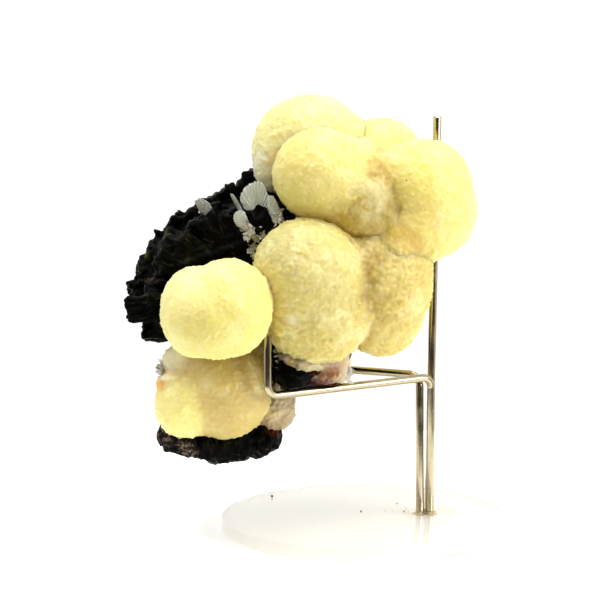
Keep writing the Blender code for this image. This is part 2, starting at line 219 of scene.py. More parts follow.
ROD_RADIUS = 1.0
ROD_END_LEVEL = 1.3
ROD_BEND_RADIUS = 2.9
ROD_BEND_STEPS = 14
ROD_SIDES = 32
ROD_CHAMFER = 0.18
ROD_SHARP_ANGLE = 35.0
LINE_STRETCH = (9.0, 0.25, 1.0)     # the noise of fine lines: close across a rod or crystal, long along it
ARM_LENGTH = 49.3           # from the elbow to the hook
HOOK_HEIGHT = 15.0
NEAR_LEG = (16.85, 1.2)
FAR_LEG = (14.45, 1.2)
BACK_FOOT = (16.6, 3.65)
NEAR_ELBOW = (17.05, 1.2, 38.6)
FAR_ELBOW = (14.15, 2.4, 38.9)
BACK_TOP = (18.2, 3.5, 103.9)
NEAR_ARM_ANGLE = 214.1
FAR_ARM_ANGLE = 156.4


def rounded_route(corners):
    """Points along straight runs whose corners are bent to the rods' radius."""
    route = [corners[0]]
    for before, corner, after in zip(corners, corners[1:], corners[2:]):
        inward = (before - corner).normalized()
        outward = (after - corner).normalized()
        half_angle = inward.angle(outward) / 2.0
        centre = corner + (inward + outward).normalized() * ROD_BEND_RADIUS / math.sin(half_angle)
        start = corner + inward * ROD_BEND_RADIUS / math.tan(half_angle) - centre
        end = corner + outward * ROD_BEND_RADIUS / math.tan(half_angle) - centre
        for step in range(ROD_BEND_STEPS + 1):
            route.append(centre + start.slerp(end, step / ROD_BEND_STEPS).normalized() * ROD_BEND_RADIUS)
    route.append(corners[-1])
    return route


def rod_mesh(name, corners, material):
    """A round rod along its route, with a UV map in millimetres: round it, and along it."""
    route = rounded_route([Vector(corner) for corner in corners])
    start_way = (route[1] - route[0]).normalized()
    end_way = (route[-1] - route[-2]).normalized()
    stations = [(route[0], ROD_RADIUS - ROD_CHAMFER), (route[0] + start_way * ROD_CHAMFER, ROD_RADIUS)]
    stations += [(place, ROD_RADIUS) for place in route[1:-1]]
    stations += [(route[-1] - end_way * ROD_CHAMFER, ROD_RADIUS), (route[-1], ROD_RADIUS - ROD_CHAMFER)]
    shape = bmesh.new()
    uv_layer = shape.loops.layers.uv.new("along_rod")
    across = start_way.orthogonal().normalized()
    rings, along = [], [0.0]
    for index, (place, radius) in enumerate(stations):
        before = stations[max(index - 1, 0)][0]
        after = stations[min(index + 1, len(stations) - 1)][0]
        way = (after - before).normalized()
        across = (across - way * across.dot(way)).normalized()
        other = way.cross(across)
        if index:
            along.append(along[-1] + (place - before).length)
        ring = []
        for side in range(ROD_SIDES):
            angle = 2.0 * math.pi * side / ROD_SIDES
            outward = across * math.cos(angle) + other * math.sin(angle)
            ring.append(shape.verts.new((place + outward * radius) * MM))
        rings.append(ring)
    step_round = 2.0 * math.pi * ROD_RADIUS / ROD_SIDES
    for index in range(len(rings) - 1):
        for side in range(ROD_SIDES):
            after = (side + 1) % ROD_SIDES
            face = shape.faces.new((rings[index][side], rings[index][after],
                                    rings[index + 1][after], rings[index + 1][side]))
            places = ((side, index), (side + 1, index), (side + 1, index + 1), (side, index + 1))
            for loop, (round_step, station) in zip(face.loops, places):
                loop[uv_layer].uv = (round_step * step_round, along[station])
    shape.faces.new(rings[0])
    shape.faces.new(rings[-1])
    bmesh.ops.recalc_face_normals(shape, faces=shape.faces)
    return add_piece(name, shape, material, ROD_SHARP_ANGLE)


# Bright-drawn stainless steel: drawing lines along the rod, a little handled, so that its gloss varies
steel, tree, shader = new_material("bright_drawn_steel", Metallic=1.0, Anisotropic=0.45)
rod_uv = add_node(tree, "UVMap", uv_map="along_rod")
lines_place = add_node(tree, "VectorMath", (rod_uv, LINE_STRETCH), operation="MULTIPLY")
lines = add_node(tree, "TexNoise", {"Vector": lines_place, "Scale": 1.0, "Detail": 3.0})
smudges = add_node(tree, "TexNoise", {"Vector": object_place(tree), "Scale": 0.18, "Detail": 4.0})
fill_inputs(tree, shader, {
    "Base Color": add_node(tree, "Mix", (lines, linear("9A8D70"), linear("D0C4A6")), data_type="RGBA"),
    "Roughness": add_node(tree, "MapRange", (smudges, 0.35, 0.7, 0.13, 0.27)),
    "Normal": add_node(tree, "Bump", {"Height": lines, "Strength": 0.25, "Distance": 0.01 * MM}),
    "Tangent": add_node(tree, "Tangent", direction_type="UV_MAP", uv_map="along_rod")})


def arm_corners(leg, elbow, angle):
    """Foot, elbow, hook's foot and hook's end of a bent rod."""
    along = Vector((math.cos(math.radians(angle)), math.sin(math.radians(angle)), 0.0))
    hook_foot = Vector(elbow) + along * ARM_LENGTH
    return [(*leg, ROD_END_LEVEL), elbow, hook_foot, hook_foot + Vector((0.0, 0.0, HOOK_HEIGHT))]


rod_routes = {
    "near_arm_rod": arm_corners(NEAR_LEG, NEAR_ELBOW, NEAR_ARM_ANGLE),
    "far_arm_rod": arm_corners(FAR_LEG, FAR_ELBOW, FAR_ARM_ANGLE),
    "back_rod": [(*BACK_FOOT, ROD_END_LEVEL), BACK_TOP],
}
for node_name, corners in rod_routes.items():
    rod = rod_mesh("bright_" + node_name, corners, steel)
    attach(rod, "root")
    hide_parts(node_name)


# The epidote
# A cluster of green-black prisms that radiate from a line along Y and end on a rough arc, with the
# rock that they grew on and a black piece under the lower balls. Each big prism is a bundle of laths
# side by side, which gives epidote its deep ribs along its length and its stepped ends.

FAN_CENTRE = (-25.0, 62.0)
FAN_OUTLINE = [             # degrees from +X, seen from the viewer's side, and reach in millimetres
    (84, 27.0), (99, 27.4), (114, 26.6), (129, 27.2), (143, 28.8), (156, 30.8), (169, 32.2),
    (182, 34.2), (193, 31.4), (204, 27.4),
]
FAN_LAYERS = [              # place along Y, share of the reach, and splay along Y
    (-8.5, 0.92, -0.18), (-1.0, 1.0, 0.0), (6.0, 0.9, 0.26),
]
FAN_CRYSTAL = (8.8, 10.0)   # width and depth
FAN_WIDTHS = (0.85, 1.15)   # by which the widths vary
FAN_SPREAD = 0.07           # by which the splays vary
FAN_ROOT = 7.0              # how far from the fan's line its crystals start
FAN_SHORTER = 3.2           # by which the front and back layers' crystals may be shorter
LOW_FRONT_ANGLE = 106       # the front of the fan is lower here, where the white blades stand
LOW_FRONT = 3.6
LAYER_TURN = 4.0            # degrees by which the middle layer is turned
SINGLE_CRYSTALS = {         # foot, tip, width, depth
    "ridge": ((-46.0, -16.4, 69.6), (-27.6, -15.0, 76.6), 5.4, 5.0),
    "round_block": ((-25.6, -6.0, 78.6), (-25.8, -18.4, 80.6), 5.6, 7.0),
    "upright_left": ((-47.6, -12.6, 62.0), (-49.2, -13.4, 75.4), 4.6, 4.4),
    "upright_middle": ((-44.0, -13.6, 63.0), (-45.4, -14.4, 76.0), 4.4, 4.4),
    "left_block": ((-42.0, -14.0, 58.4), (-59.2, -12.4, 58.2), 8.0, 6.4),
    "left_step": ((-40.0, -13.0, 51.6), (-55.0, -11.4, 51.8), 5.6, 6.0),
    "upper_block": ((-36.0, -12.0, 74.0), (-37.6, -13.4, 84.2), 6.6, 5.2),
    "inner_block": ((-25.0, -4.0, 66.0), (-20.4, -6.6, 83.6), 9.0, 8.0),
    "top_spike": ((-26.4, -3.0, 78.0), (-28.0, -3.6, 91.6), 4.6, 6.0),
}
ROCK_LUMPS = {              # centre, half-widths
    "seat": ((-13.6, -2.0, 48.6), (10.8, 22.0, 13.0)),
    "seat_front": ((-15.6, -18.0, 44.4), (7.0, 5.4, 5.6)),
    "seat_toe": ((-17.4, -20.6, 41.6), (4.9, 3.7, 3.4)),
    "seat_hanging": ((-15.6, -16.6, 41.6), (8.6, 3.4, 3.6)),
    "seat_right": ((-8.8, -14.0, 43.8), (5.4, 5.4, 4.8)),
    "seat_right_toe": ((-10.4, -16.8, 41.6), (5.2, 3.8, 3.2)),
    "cluster_heart": ((-33.0, -1.0, 65.6), (18.4, 14.0, 16.6)),
    "cluster_left": ((-46.5, -5.0, 61.5), (8.5, 8.0, 10.5)),
    "neck": ((-29.0, 2.0, 40.0), (9.0, 8.0, 15.0)),
    "keel_left": ((-46.4, -12.6, 27.4), (5.4, 6.0, 5.2)),
    "keel_front": ((-40.8, -13.6, 25.0), (6.5, 5.4, 4.8)),
    "keel_middle": ((-34.6, -10.4, 24.2), (8.6, 8.0, 5.8)),
    "keel_right": ((-26.0, -8.6, 25.2), (5.8, 6.5, 5.4)),
}
ARM_TOP_LEVEL = 40.0
HANGING_LEVEL = 38.2        # how low the rock may hang between the arms, in front of the next place
HANGING_BACK = -13.0
ARM_CLEARANCE = 1.9         # from an arm's middle line
ARMS_LEFT_END = -23.0
SEAT_LEFT_END = -20.0       # the rock right of this or above the next level is cut flat on the arms
SEAT_TOP_LEVEL = 48.0
ROCK_VOXEL = 0.45
WAVE_SIZE, WAVE_HEIGHT = 5.0, 1.2           # of the noise that shapes the rock before it is joined
BUMP_SIZE, BUMP_HEIGHT = 1.4, 0.3
CHIP_SIZE, CHIP_HEIGHT = 2.6, 0.7
ROCK_INSET = 0.6                            # which evens out the chips' height
BREAK_SIZE, BREAK_HEIGHT = 2.6, 0.45        # of the noise that moves the joined surface in and out
FINE_BREAK_SIZE, FINE_BREAK_SHARE = 0.9, 0.35
KEEL_TOP = 33.0                             # below it, the black piece has upright folds
FOLD_SIZE, FOLD_HEIGHT = (1.7, 2.0, 4.0), 0.75
FOLD_SLANT = 6.0                            # along X for each unit of the noise along Z
FOLD_LEVEL, FOLD_DEPTH = 0.4, 2.0
LATH_SPACING = 1.5          # between the middles of neighbouring laths
LATH_ROW_SPACING = 0.866    # between rows of laths, over the spacing in a row
LATH_INSET = 0.45           # of the outer laths' middles, over the spacing
LATH_SCATTER = 0.14         # of a lath's middle, over the spacing
LATH_OVERLAP = 1.32         # a lath's width over the spacing
LATH_WIDTHS = (0.7, 1.35)   # by which the widths vary
LATH_DEPTHS = (0.7, 1.0)    # a lath's depth over its width
LATH_LEAN = 0.06            # sideways over length
LATH_KINDS = 6
LATH_SIDES = 9
END_STEPS = 0.7             # how far the laths of one bundle may end from each other
END_SLOPE = 0.45            # how steeply one side of a bundle's end may fall away
MOST_SHORTENED = 0.3        # by which share of its length a lath may end early
FULL_TURN = 6.28            # radians
SIDE_SCATTER = 0.28         # of a unit crystal's corners round it, over a side
CORNER_REACH = (0.84, 1.0)  # of those corners, over half its width
RUST_STRENGTH = 1.8
DUST_STRENGTH = 1.65
TONE_PATCH, TONE_SPREAD, TONE_LEVEL = 3.0, 0.5, 0.38
PAINTED_GLINT_LIFT = 0.5            # of the tone, raised at the painted glint places
FAN_RIBS = 3.0              # units of the ribs' map a radian round the fan's line
KEEL_RIBS = 0.22            # a millimetre along X in the keel
DEEPER_RIBS = 0.12          # a millimetre along Y
EPIDOTE_SHARP_ANGLE = 38.0


def make_group(name, inputs):
    """A Geometry Nodes group with a geometry input and output and further named inputs."""
    group = bpy.data.node_groups.new(name, "GeometryNodeTree")
    group.interface.new_socket("Geometry", in_out="INPUT", socket_type="NodeSocketGeometry")
    for socket, kind in inputs.items():
        group.interface.new_socket(socket, in_out="INPUT", socket_type="NodeSocket" + kind)
    group.interface.new_socket("Geometry", in_out="OUTPUT", socket_type="NodeSocketGeometry")
    given = add_node(group, "NodeGroupInput")
    result = add_node(group, "NodeGroupOutput")
    return group, given.outputs, result.inputs[0]


def keep_result(piece):
    """Makes what a piece's modifiers show its plain mesh."""
    shown = piece.evaluated_get(bpy.context.evaluated_depsgraph_get())
    mesh = bpy.data.meshes.new_from_object(shown)
    piece.modifiers.clear()
    old, piece.data = piece.data, mesh
    bpy.data.meshes.remove(old)
    return piece


def run_group(piece, group, values):
    """Runs a Geometry Nodes group on a piece and keeps the result."""
    modifier = piece.modifiers.new("make", "NODES")
    modifier.node_group = group
    for item in group.interface.items_tree:
        if item.in_out == "INPUT" and item.name in values:
            modifier[item.identifier] = values[item.name]
    return keep_result(piece)


def add_crystals(group, given, points, kind, rotation, size):
    """Puts a crystal of the group's collection on each point and makes them all mesh."""
    crystals = add_node(group, "GeometryNodeCollectionInfo", {
        "Collection": given["Crystals"], "Separate Children": True, "Reset Children": True})
    placed = add_node(group, "GeometryNodeInstanceOnPoints", {
        "Points": points, "Instance": crystals, "Pick Instance": True, "Instance Index": kind,
        "Rotation": rotation, "Scale": size})
    return add_node(group, "GeometryNodeRealizeInstances", (placed,))


def crystals_on_points():
    """Puts a crystal of a collection on each point, by the point's aim, turn, size and kind."""
    group, given, result = make_group("crystals_on_points", {"Crystals": "Collection", "Finish": "Material"})
    aim, size, turn, kind = (
        add_node(group, "GeometryNodeInputNamedAttribute", {"Name": name}, data_type=values)
        for name, values in (("aim", "FLOAT_VECTOR"), ("size", "FLOAT_VECTOR"), ("turn", "FLOAT"),
                             ("kind", "INT")))
    aimed = add_node(group, "FunctionNodeAlignRotationToVector", {"Vector": aim}, axis="Z")
    about = add_node(group, "FunctionNodeAxisAngleToRotation", {"Axis": (0.0, 0.0, 1.0), "Angle": turn})
    turned = add_node(group, "FunctionNodeRotateRotation", (aimed, about), rotation_space="LOCAL")
    whole = add_crystals(group, given, given["Geometry"], kind, turned, size)
    finished = add_node(group, "GeometryNodeSetMaterial", {"Geometry": whole, "Material": given["Finish"]})
    group.links.new(finished.outputs[0], result)
    return group


def add_unit_crystal(kinds, name, sides, chance, low, bevel, narrowed, slant):
    """A unit crystal along Z from a low level to 1: an uneven section and a bevelled, sloping end."""
    angles = [2.0 * math.pi * (side + chance.uniform(-SIDE_SCATTER, SIDE_SCATTER)) / sides
              for side in range(sides)]
    radii = [0.5 * chance.uniform(*CORNER_REACH) for side in range(sides)]
    lean = chance.uniform(-slant, slant)
    other_lean = chance.uniform(-slant, slant)
    points = []
    for height, scale in ((low, 1.0), (1.0 - bevel, 1.0), (1.0, narrowed)):
        for angle, radius in zip(angles, radii):
            across, through = math.cos(angle) * radius * scale, math.sin(angle) * radius * scale
            slope = (lean * across + other_lean * through) if height > low else 0.0
            points.append((across, through, height + slope))
    faces = [(ring + side, ring + (side + 1) % sides, ring + sides + (side + 1) % sides, ring + sides + side)
             for ring in (0, sides) for side in range(sides)]
    faces += [range(sides), range(2 * sides, 3 * sides)]
    piece_from(name, points, faces, unit=1.0, home=kinds)


def crystal_kinds(name, count, sides, **form):
    """A collection of unit crystals that differ a little."""
    chance = random.Random(name)
    kinds = bpy.data.collections.new(name)
    for index in range(count):
        add_unit_crystal(kinds, f"{name}_{index}", sides, chance, **form)
    return kinds


def point_cloud(name, rows):
    """A piece of loose points in millimetres, with each point's further values as attributes."""
    piece = piece_from(name, [row["place"] for row in rows], [])
    for key in rows[0]:
        values = [row[key] for row in rows]
        if key in ("aim", "size"):
            scale = MM if key == "size" else 1.0
            attribute = piece.data.attributes.new(key, "FLOAT_VECTOR", "POINT")
            vectors = np.array([tuple(value) for value in values], np.float32)
            attribute.data.foreach_set("vector", vectors.ravel() * scale)
        elif key != "place":
            attribute = piece.data.attributes.new(key, "INT" if key == "kind" else "FLOAT", "POINT")
            attribute.data.foreach_set("value", np.array(values))
    return piece


def crystal_piece(name, rows, kinds, finish):
    """Many crystals as one piece, from the kinds and the rows of their places, aims, sizes and turns."""
    return run_group(point_cloud(name, rows), crystals, {"Crystals": kinds, "Finish": finish})


def forget_kinds(kinds):
    """Removes the unit crystals once the pieces that use them are plain meshes."""
    for kind in list(kinds.objects):
        bpy.data.objects.remove(kind)
    bpy.data.collections.remove(kinds)


def bundle(foot, tip, width, depth, chance):
    """Laths side by side that fill one big prism, each with its own end."""
    axis = (tip - foot).normalized()
    side = axis.cross(Vector((0.0, 1.0, 0.0))).normalized()
    up = axis.cross(side)
    length = (tip - foot).length
    laths = []
    rows = int(depth / (LATH_SPACING * LATH_ROW_SPACING)) + 1
    columns = int(width / LATH_SPACING) + 1
    reach_across = width / 2.0 - LATH_SPACING * LATH_INSET
    reach_through = depth / 2.0 - LATH_SPACING * LATH_INSET
    slope_across, slope_through = chance.uniform(-END_SLOPE, END_SLOPE), chance.uniform(-END_SLOPE, END_SLOPE)
    for row in range(-rows, rows + 1):
        for column in range(-columns, columns + 1):
            across = (column + (row % 2) * 0.5 + chance.uniform(-LATH_SCATTER, LATH_SCATTER)) * LATH_SPACING
            through = (row * LATH_ROW_SPACING + chance.uniform(-LATH_SCATTER, LATH_SCATTER)) * LATH_SPACING
            if (across / reach_across) ** 2 + (through / reach_through) ** 2 > 1.0:
                continue
            slope = max(0.0, slope_across * across + slope_through * through)
            shorter = min(chance.random() * END_STEPS + slope, MOST_SHORTENED * length)
            thick = LATH_SPACING * LATH_OVERLAP * chance.uniform(*LATH_WIDTHS)
            laths.append({
                "place": foot + side * across + up * through,
                "aim": (axis + side * chance.uniform(-LATH_LEAN, LATH_LEAN)
                        + up * chance.uniform(-LATH_LEAN, LATH_LEAN)),
                "size": (thick, thick * chance.uniform(*LATH_DEPTHS), length - shorter),
                "turn": chance.uniform(0.0, FULL_TURN), "kind": chance.randrange(LATH_KINDS),
                "tone": chance.random(), "seed": chance.random()})
    return laths


chance = random.Random("fan")
laths = []
for layer, (depth_place, share, splay) in enumerate(FAN_LAYERS):
    for degrees, reach in FAN_OUTLINE:
        angle = math.radians(degrees + (layer % 2) * LAYER_TURN)
        shorter = 0.0 if share == 1.0 else chance.uniform(0.0, FAN_SHORTER)
        out = Vector((math.cos(angle), splay + chance.uniform(-FAN_SPREAD, FAN_SPREAD), math.sin(angle)))
        start = Vector((FAN_CENTRE[0], depth_place, FAN_CENTRE[1]))
        if layer == 0 and degrees < LOW_FRONT_ANGLE:
            shorter += LOW_FRONT
        width = FAN_CRYSTAL[0] * chance.uniform(*FAN_WIDTHS)
        laths += bundle(start + out * FAN_ROOT, start + out * (reach * share - shorter), width,
                        FAN_CRYSTAL[1], random.Random(f"{layer} {degrees}"))
for name, (foot, tip, width, depth) in SINGLE_CRYSTALS.items():
    laths += bundle(Vector(foot), Vector(tip), width, depth, random.Random(name))


def remeshed(piece, voxel, softenings=0):
    """Makes one closed surface of everything that overlaps in a piece, and softens it if asked."""
    even = piece.modifiers.new("even", "REMESH")
    even.mode = "VOXEL"
    even.voxel_size = voxel * MM
    if softenings:
        soften = piece.modifiers.new("soften", "SMOOTH")
        soften.factor = 0.5
        soften.iterations = softenings
    return keep_result(piece)


def joined_ellipsoids(name, shapes, voxel, detail=4, change=None):
    """One closed mesh round overlapping ellipsoids, in even small faces. Change may move a point first."""
    shape = bmesh.new()
    for centre, half, *looks in shapes.values():
        made = bmesh.ops.create_icosphere(shape, subdivisions=detail, radius=1.0)
        for point in made["verts"]:
            place = Vector(centre[axis] + point.co[axis] * half[axis] for axis in range(3))
            point.co = change(place, point.co.normalized()) if change else place
            point.co *= MM
    return remeshed(add_piece(name, shape), voxel)


def lowest_level(x, y):
    """How low the rock may reach: it rests on the arms, and hangs a little between them at the front."""
    over = False
    for elbow, degrees in ((NEAR_ELBOW, NEAR_ARM_ANGLE), (FAR_ELBOW, FAR_ARM_ANGLE)):
        way = math.radians(degrees)
        over = over | (abs((x - elbow[0]) * math.sin(way) - (y - elbow[1]) * math.cos(way)) < ARM_CLEARANCE)
    return np.where(over | (y > HANGING_BACK), ARM_TOP_LEVEL, HANGING_LEVEL)


def broken_rock(place, direction):
    """Moves a point of a rock's surface in or out, and flattens it where it rests on the arms."""
    chips = noise.voronoi(place / CHIP_SIZE)[0]
    waves = noise.noise(place / WAVE_SIZE) * WAVE_HEIGHT + noise.noise(place / BUMP_SIZE) * BUMP_HEIGHT
    moved = place + direction * (waves + (chips[1] - chips[0]) * CHIP_HEIGHT - ROCK_INSET)
    if place.x > SEAT_LEFT_END or place.z > SEAT_TOP_LEVEL:
        moved.z = max(moved.z, float(lowest_level(moved.x, moved.y)))
    return moved


# Epidote: vitreous and nearly black, ribbed along each lath, its tone changing at random between
# black and dark olive. Olive glints are painted in a few places, and pale highlights along the ribs.
# Brown dust lies between the crystals, and rust stains the seat under the balls.
epidote, tree, shader = new_material("green_black_epidote", IOR=1.74, Specular_IOR_Level=0.018)
place = object_place(tree)
tone, dust, rust = (add_node(tree, "Attribute", attribute_name=name).outputs["Fac"]
                    for name in ("tone", "dust", "rust"))
rib_uv = add_node(tree, "UVMap", uv_map="along_crystal")
rib_place = add_node(tree, "VectorMath", (rib_uv, LINE_STRETCH), operation="MULTIPLY")
rib_turn = add_node(tree, "VectorMath", (rib_place, tone), operation="ADD")
ribs = add_node(tree, "TexNoise", {"Vector": rib_turn, "Scale": 1.0, "Detail": 2.0})
patches = add_node(tree, "TexNoise", {"Vector": place, "Scale": 0.22, "Detail": 4.0})
grain = add_node(tree, "TexNoise", {"Vector": place, "Scale": 1.6, "Detail": 5.0, "Roughness": 0.65})
patchy = add_node(tree, "Math", (tone, patches), operation="MULTIPLY")
green_at = add_node(tree, "Math", (patchy, 1.45), operation="MULTIPLY")
greens = add_node(tree, "ValToRGB", (green_at,))
for position, colour in ((0.34, "040403"), (0.5, "0D0D06"), (0.66, "2E2E12")):
    stop = greens.color_ramp.elements.new(position)
    stop.color = linear(colour)
greens.color_ramp.elements[0].color = linear("030302")
greens.color_ramp.elements[-1].color = linear("6E6628")
# Pale lines along the ribs are painted highlights
rib_highlights = add_node(tree, "MapRange", (ribs, 0.6, 0.72, 0.0, 0.6))
rib_highlight_at = add_node(tree, "Math", (rib_highlights, tone), operation="MULTIPLY")
colour = add_node(tree, "Mix", (rib_highlight_at, greens, linear("4C482C")), data_type="RGBA")
speckle = add_node(tree, "TexVoronoi", {"Vector": place, "Scale": 1.1}).outputs["Color"]
speckles = add_node(tree, "MapRange", (add_node(tree, "SeparateColor", (speckle,)), 0.35, 1.0))
for share, low, high, dark, pale in ((dust, 0.4, 0.62, "241E18", "857460"),
                                     (rust, 0.3, 0.8, "33140C", "8A3C24")):
    there = add_node(tree, "Math", (share, grain), operation="MULTIPLY")
    dirt = add_node(tree, "Mix", (speckles, linear(dark), linear(pale)), data_type="RGBA")
    amount = add_node(tree, "MapRange", (there, low, high))
    colour = add_node(tree, "Mix", (amount, colour, dirt), data_type="RGBA")
rib_bump = add_node(tree, "Bump", {"Height": ribs, "Strength": 0.8, "Distance": 0.2 * MM})
fill_inputs(tree, shader, {
    "Base Color": colour,
    "Roughness": add_node(tree, "MapRange", (grain, 0.3, 0.75, 0.25, 0.55)),
    "Normal": add_node(tree, "Bump", {
        "Height": grain, "Strength": 0.35, "Distance": 0.15 * MM, "Normal": rib_bump})})


def nearness(places, spots):
    """For each place, 1 at the nearest spot's middle, falling to 0 at its reach."""
    shares = [1.0 - np.linalg.norm(places - np.array(middle), axis=1) / reach for middle, reach in spots]
    return np.clip(np.max(shares, axis=0), 0.0, 1.0)


DUSTY_PLACES = (((-54.0, -10.0, 65.0), 5.5), ((-50.0, -17.0, 28.5), 8.5), ((-44.0, -18.0, 23.5), 6.0))
RUSTY_PLACES = (((-22.5, -12.0, 28.0), 4.0), ((-9.4, -20.5, 42.0), 7.0))
PAINTED_GLINT_PLACES = (((-49.5, -14.0, 77.0), 8.0), ((-38.0, -18.5, 74.6), 3.6), ((-54.0, -11.0, 69.0), 7.0),
                ((-20.6, -18.4, 41.0), 3.0))
crystals = crystals_on_points()
lath_kinds = crystal_kinds("lath", LATH_KINDS, LATH_SIDES, low=0.0, bevel=0.03, narrowed=0.8, slant=0.05)
prisms = crystal_piece("prisms", laths, lath_kinds, epidote)
forget_kinds(lath_kinds)
rock = joined_ellipsoids("rock", ROCK_LUMPS, ROCK_VOXEL, detail=5, change=broken_rock)


def grown_together(name, pieces, voxel):
    """Joins pieces into one closed surface and removes them."""
    shape = bmesh.new()
    for piece in pieces:
        shape.from_mesh(piece.data)
        bpy.data.objects.remove(piece)
    return remeshed(add_piece(name, shape), voxel)


def mesh_places(mesh):
    """The mesh's points in millimetres."""
    places = np.zeros(len(mesh.vertices) * 3, np.float32)
    mesh.vertices.foreach_get("co", places)
    return places.reshape(-1, 3) / MM


def mesh_normals(mesh):
    """The directions out of the mesh at its points."""
    normals = np.zeros(len(mesh.vertices) * 3, np.float32)
    mesh.vertex_normals.foreach_get("vector", normals)
    return normals.reshape(-1, 3)


def broken_surface(mesh):
    """Roughens the joined surface, and flattens it again where it rests on the arms."""
    places = mesh_places(mesh)
    push = np.array([noise.noise(Vector(place) / BREAK_SIZE) + noise.noise(Vector(place) / FINE_BREAK_SIZE)
                     * FINE_BREAK_SHARE for place in places]) * BREAK_HEIGHT
    wide, deep, high = FOLD_SIZE
    folds = np.zeros(len(places))
    for index, (x, y, z) in enumerate(places):
        if z < KEEL_TOP:
            fold = noise.noise(Vector((x / wide, y / deep, z / high + x / FOLD_SLANT)))
            folds[index] = FOLD_LEVEL - abs(fold) * FOLD_DEPTH
    moved = places + mesh_normals(mesh) * (push + folds * FOLD_HEIGHT)[:, None]
    resting = ((places[:, 2] > HANGING_LEVEL - 1.0) & (places[:, 2] < ARM_TOP_LEVEL + 1.0)
               & (places[:, 0] > ARMS_LEFT_END))
    moved[resting, 2] = np.maximum(moved[resting, 2], lowest_level(moved[resting, 0], moved[resting, 1]))
    mesh.vertices.foreach_set("co", (moved * MM).astype(np.float32).ravel())


def store_values(mesh, **values):
    """Stores a value for each point of the mesh, under a name that the material reads."""
    for name, numbers in values.items():
        mesh.attributes.new(name, "FLOAT", "POINT").data.foreach_set("value", numbers.astype(np.float32))


def mark_epidote(mesh):
    """Where the epidote is dusty or rusty, its tone with olive glints painted in a few places, and how its
    ribs run, as a UV map.
    """
    places = mesh_places(mesh)
    tones = np.array([noise.noise(Vector(place) / TONE_PATCH) for place in places]) * TONE_SPREAD + TONE_LEVEL
    # Painted olive glints: the tone is raised near a few places
    tones += PAINTED_GLINT_LIFT * nearness(places, PAINTED_GLINT_PLACES)
    store_values(mesh, rust=nearness(places, RUSTY_PLACES) * RUST_STRENGTH,
                 dust=nearness(places, DUSTY_PLACES) * DUST_STRENGTH, tone=tones)
    x, y, z = places.T
    turned = np.arctan2(z - FAN_CENTRE[1], FAN_CENTRE[0] - x)
    in_keel = z < KEEL_TOP
    across = np.where(in_keel, x * KEEL_RIBS, turned * FAN_RIBS) + y * DEEPER_RIBS
    along = np.where(in_keel, z, np.hypot(x - FAN_CENTRE[0], z - FAN_CENTRE[1]))
    corner_points = np.zeros(len(mesh.loops), np.int32)
    mesh.loops.foreach_get("vertex_index", corner_points)
    rib_map = np.stack([across, along], axis=1)[corner_points]
    mesh.uv_layers.new(name="along_crystal").data.foreach_set("uv", rib_map.astype(np.float32).ravel())


epidote_mass = grown_together("ribbed_epidote", [prisms, rock], ROCK_VOXEL)
broken_surface(epidote_mass.data)
mark_epidote(epidote_mass.data)
epidote_mass.data.materials.clear()
epidote_mass.data.materials.append(epidote)
epidote_mass.data.shade_smooth()
epidote_mass.data.set_sharp_from_angle(angle=math.radians(EPIDOTE_SHARP_ANGLE))
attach(epidote_mass, "root")
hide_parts("epidote_cluster")


# The stilbite balls
# Balls of fine stilbite crystals that radiate from their middles and have grown into each other. The
# crystals' tips make a close, velvety relief. They are pale yellow and let light in, so that a ball
# glows at its edge. The hollows between balls, and the balls that fill them, are painted a deeper,
# warmer yellow as shade.

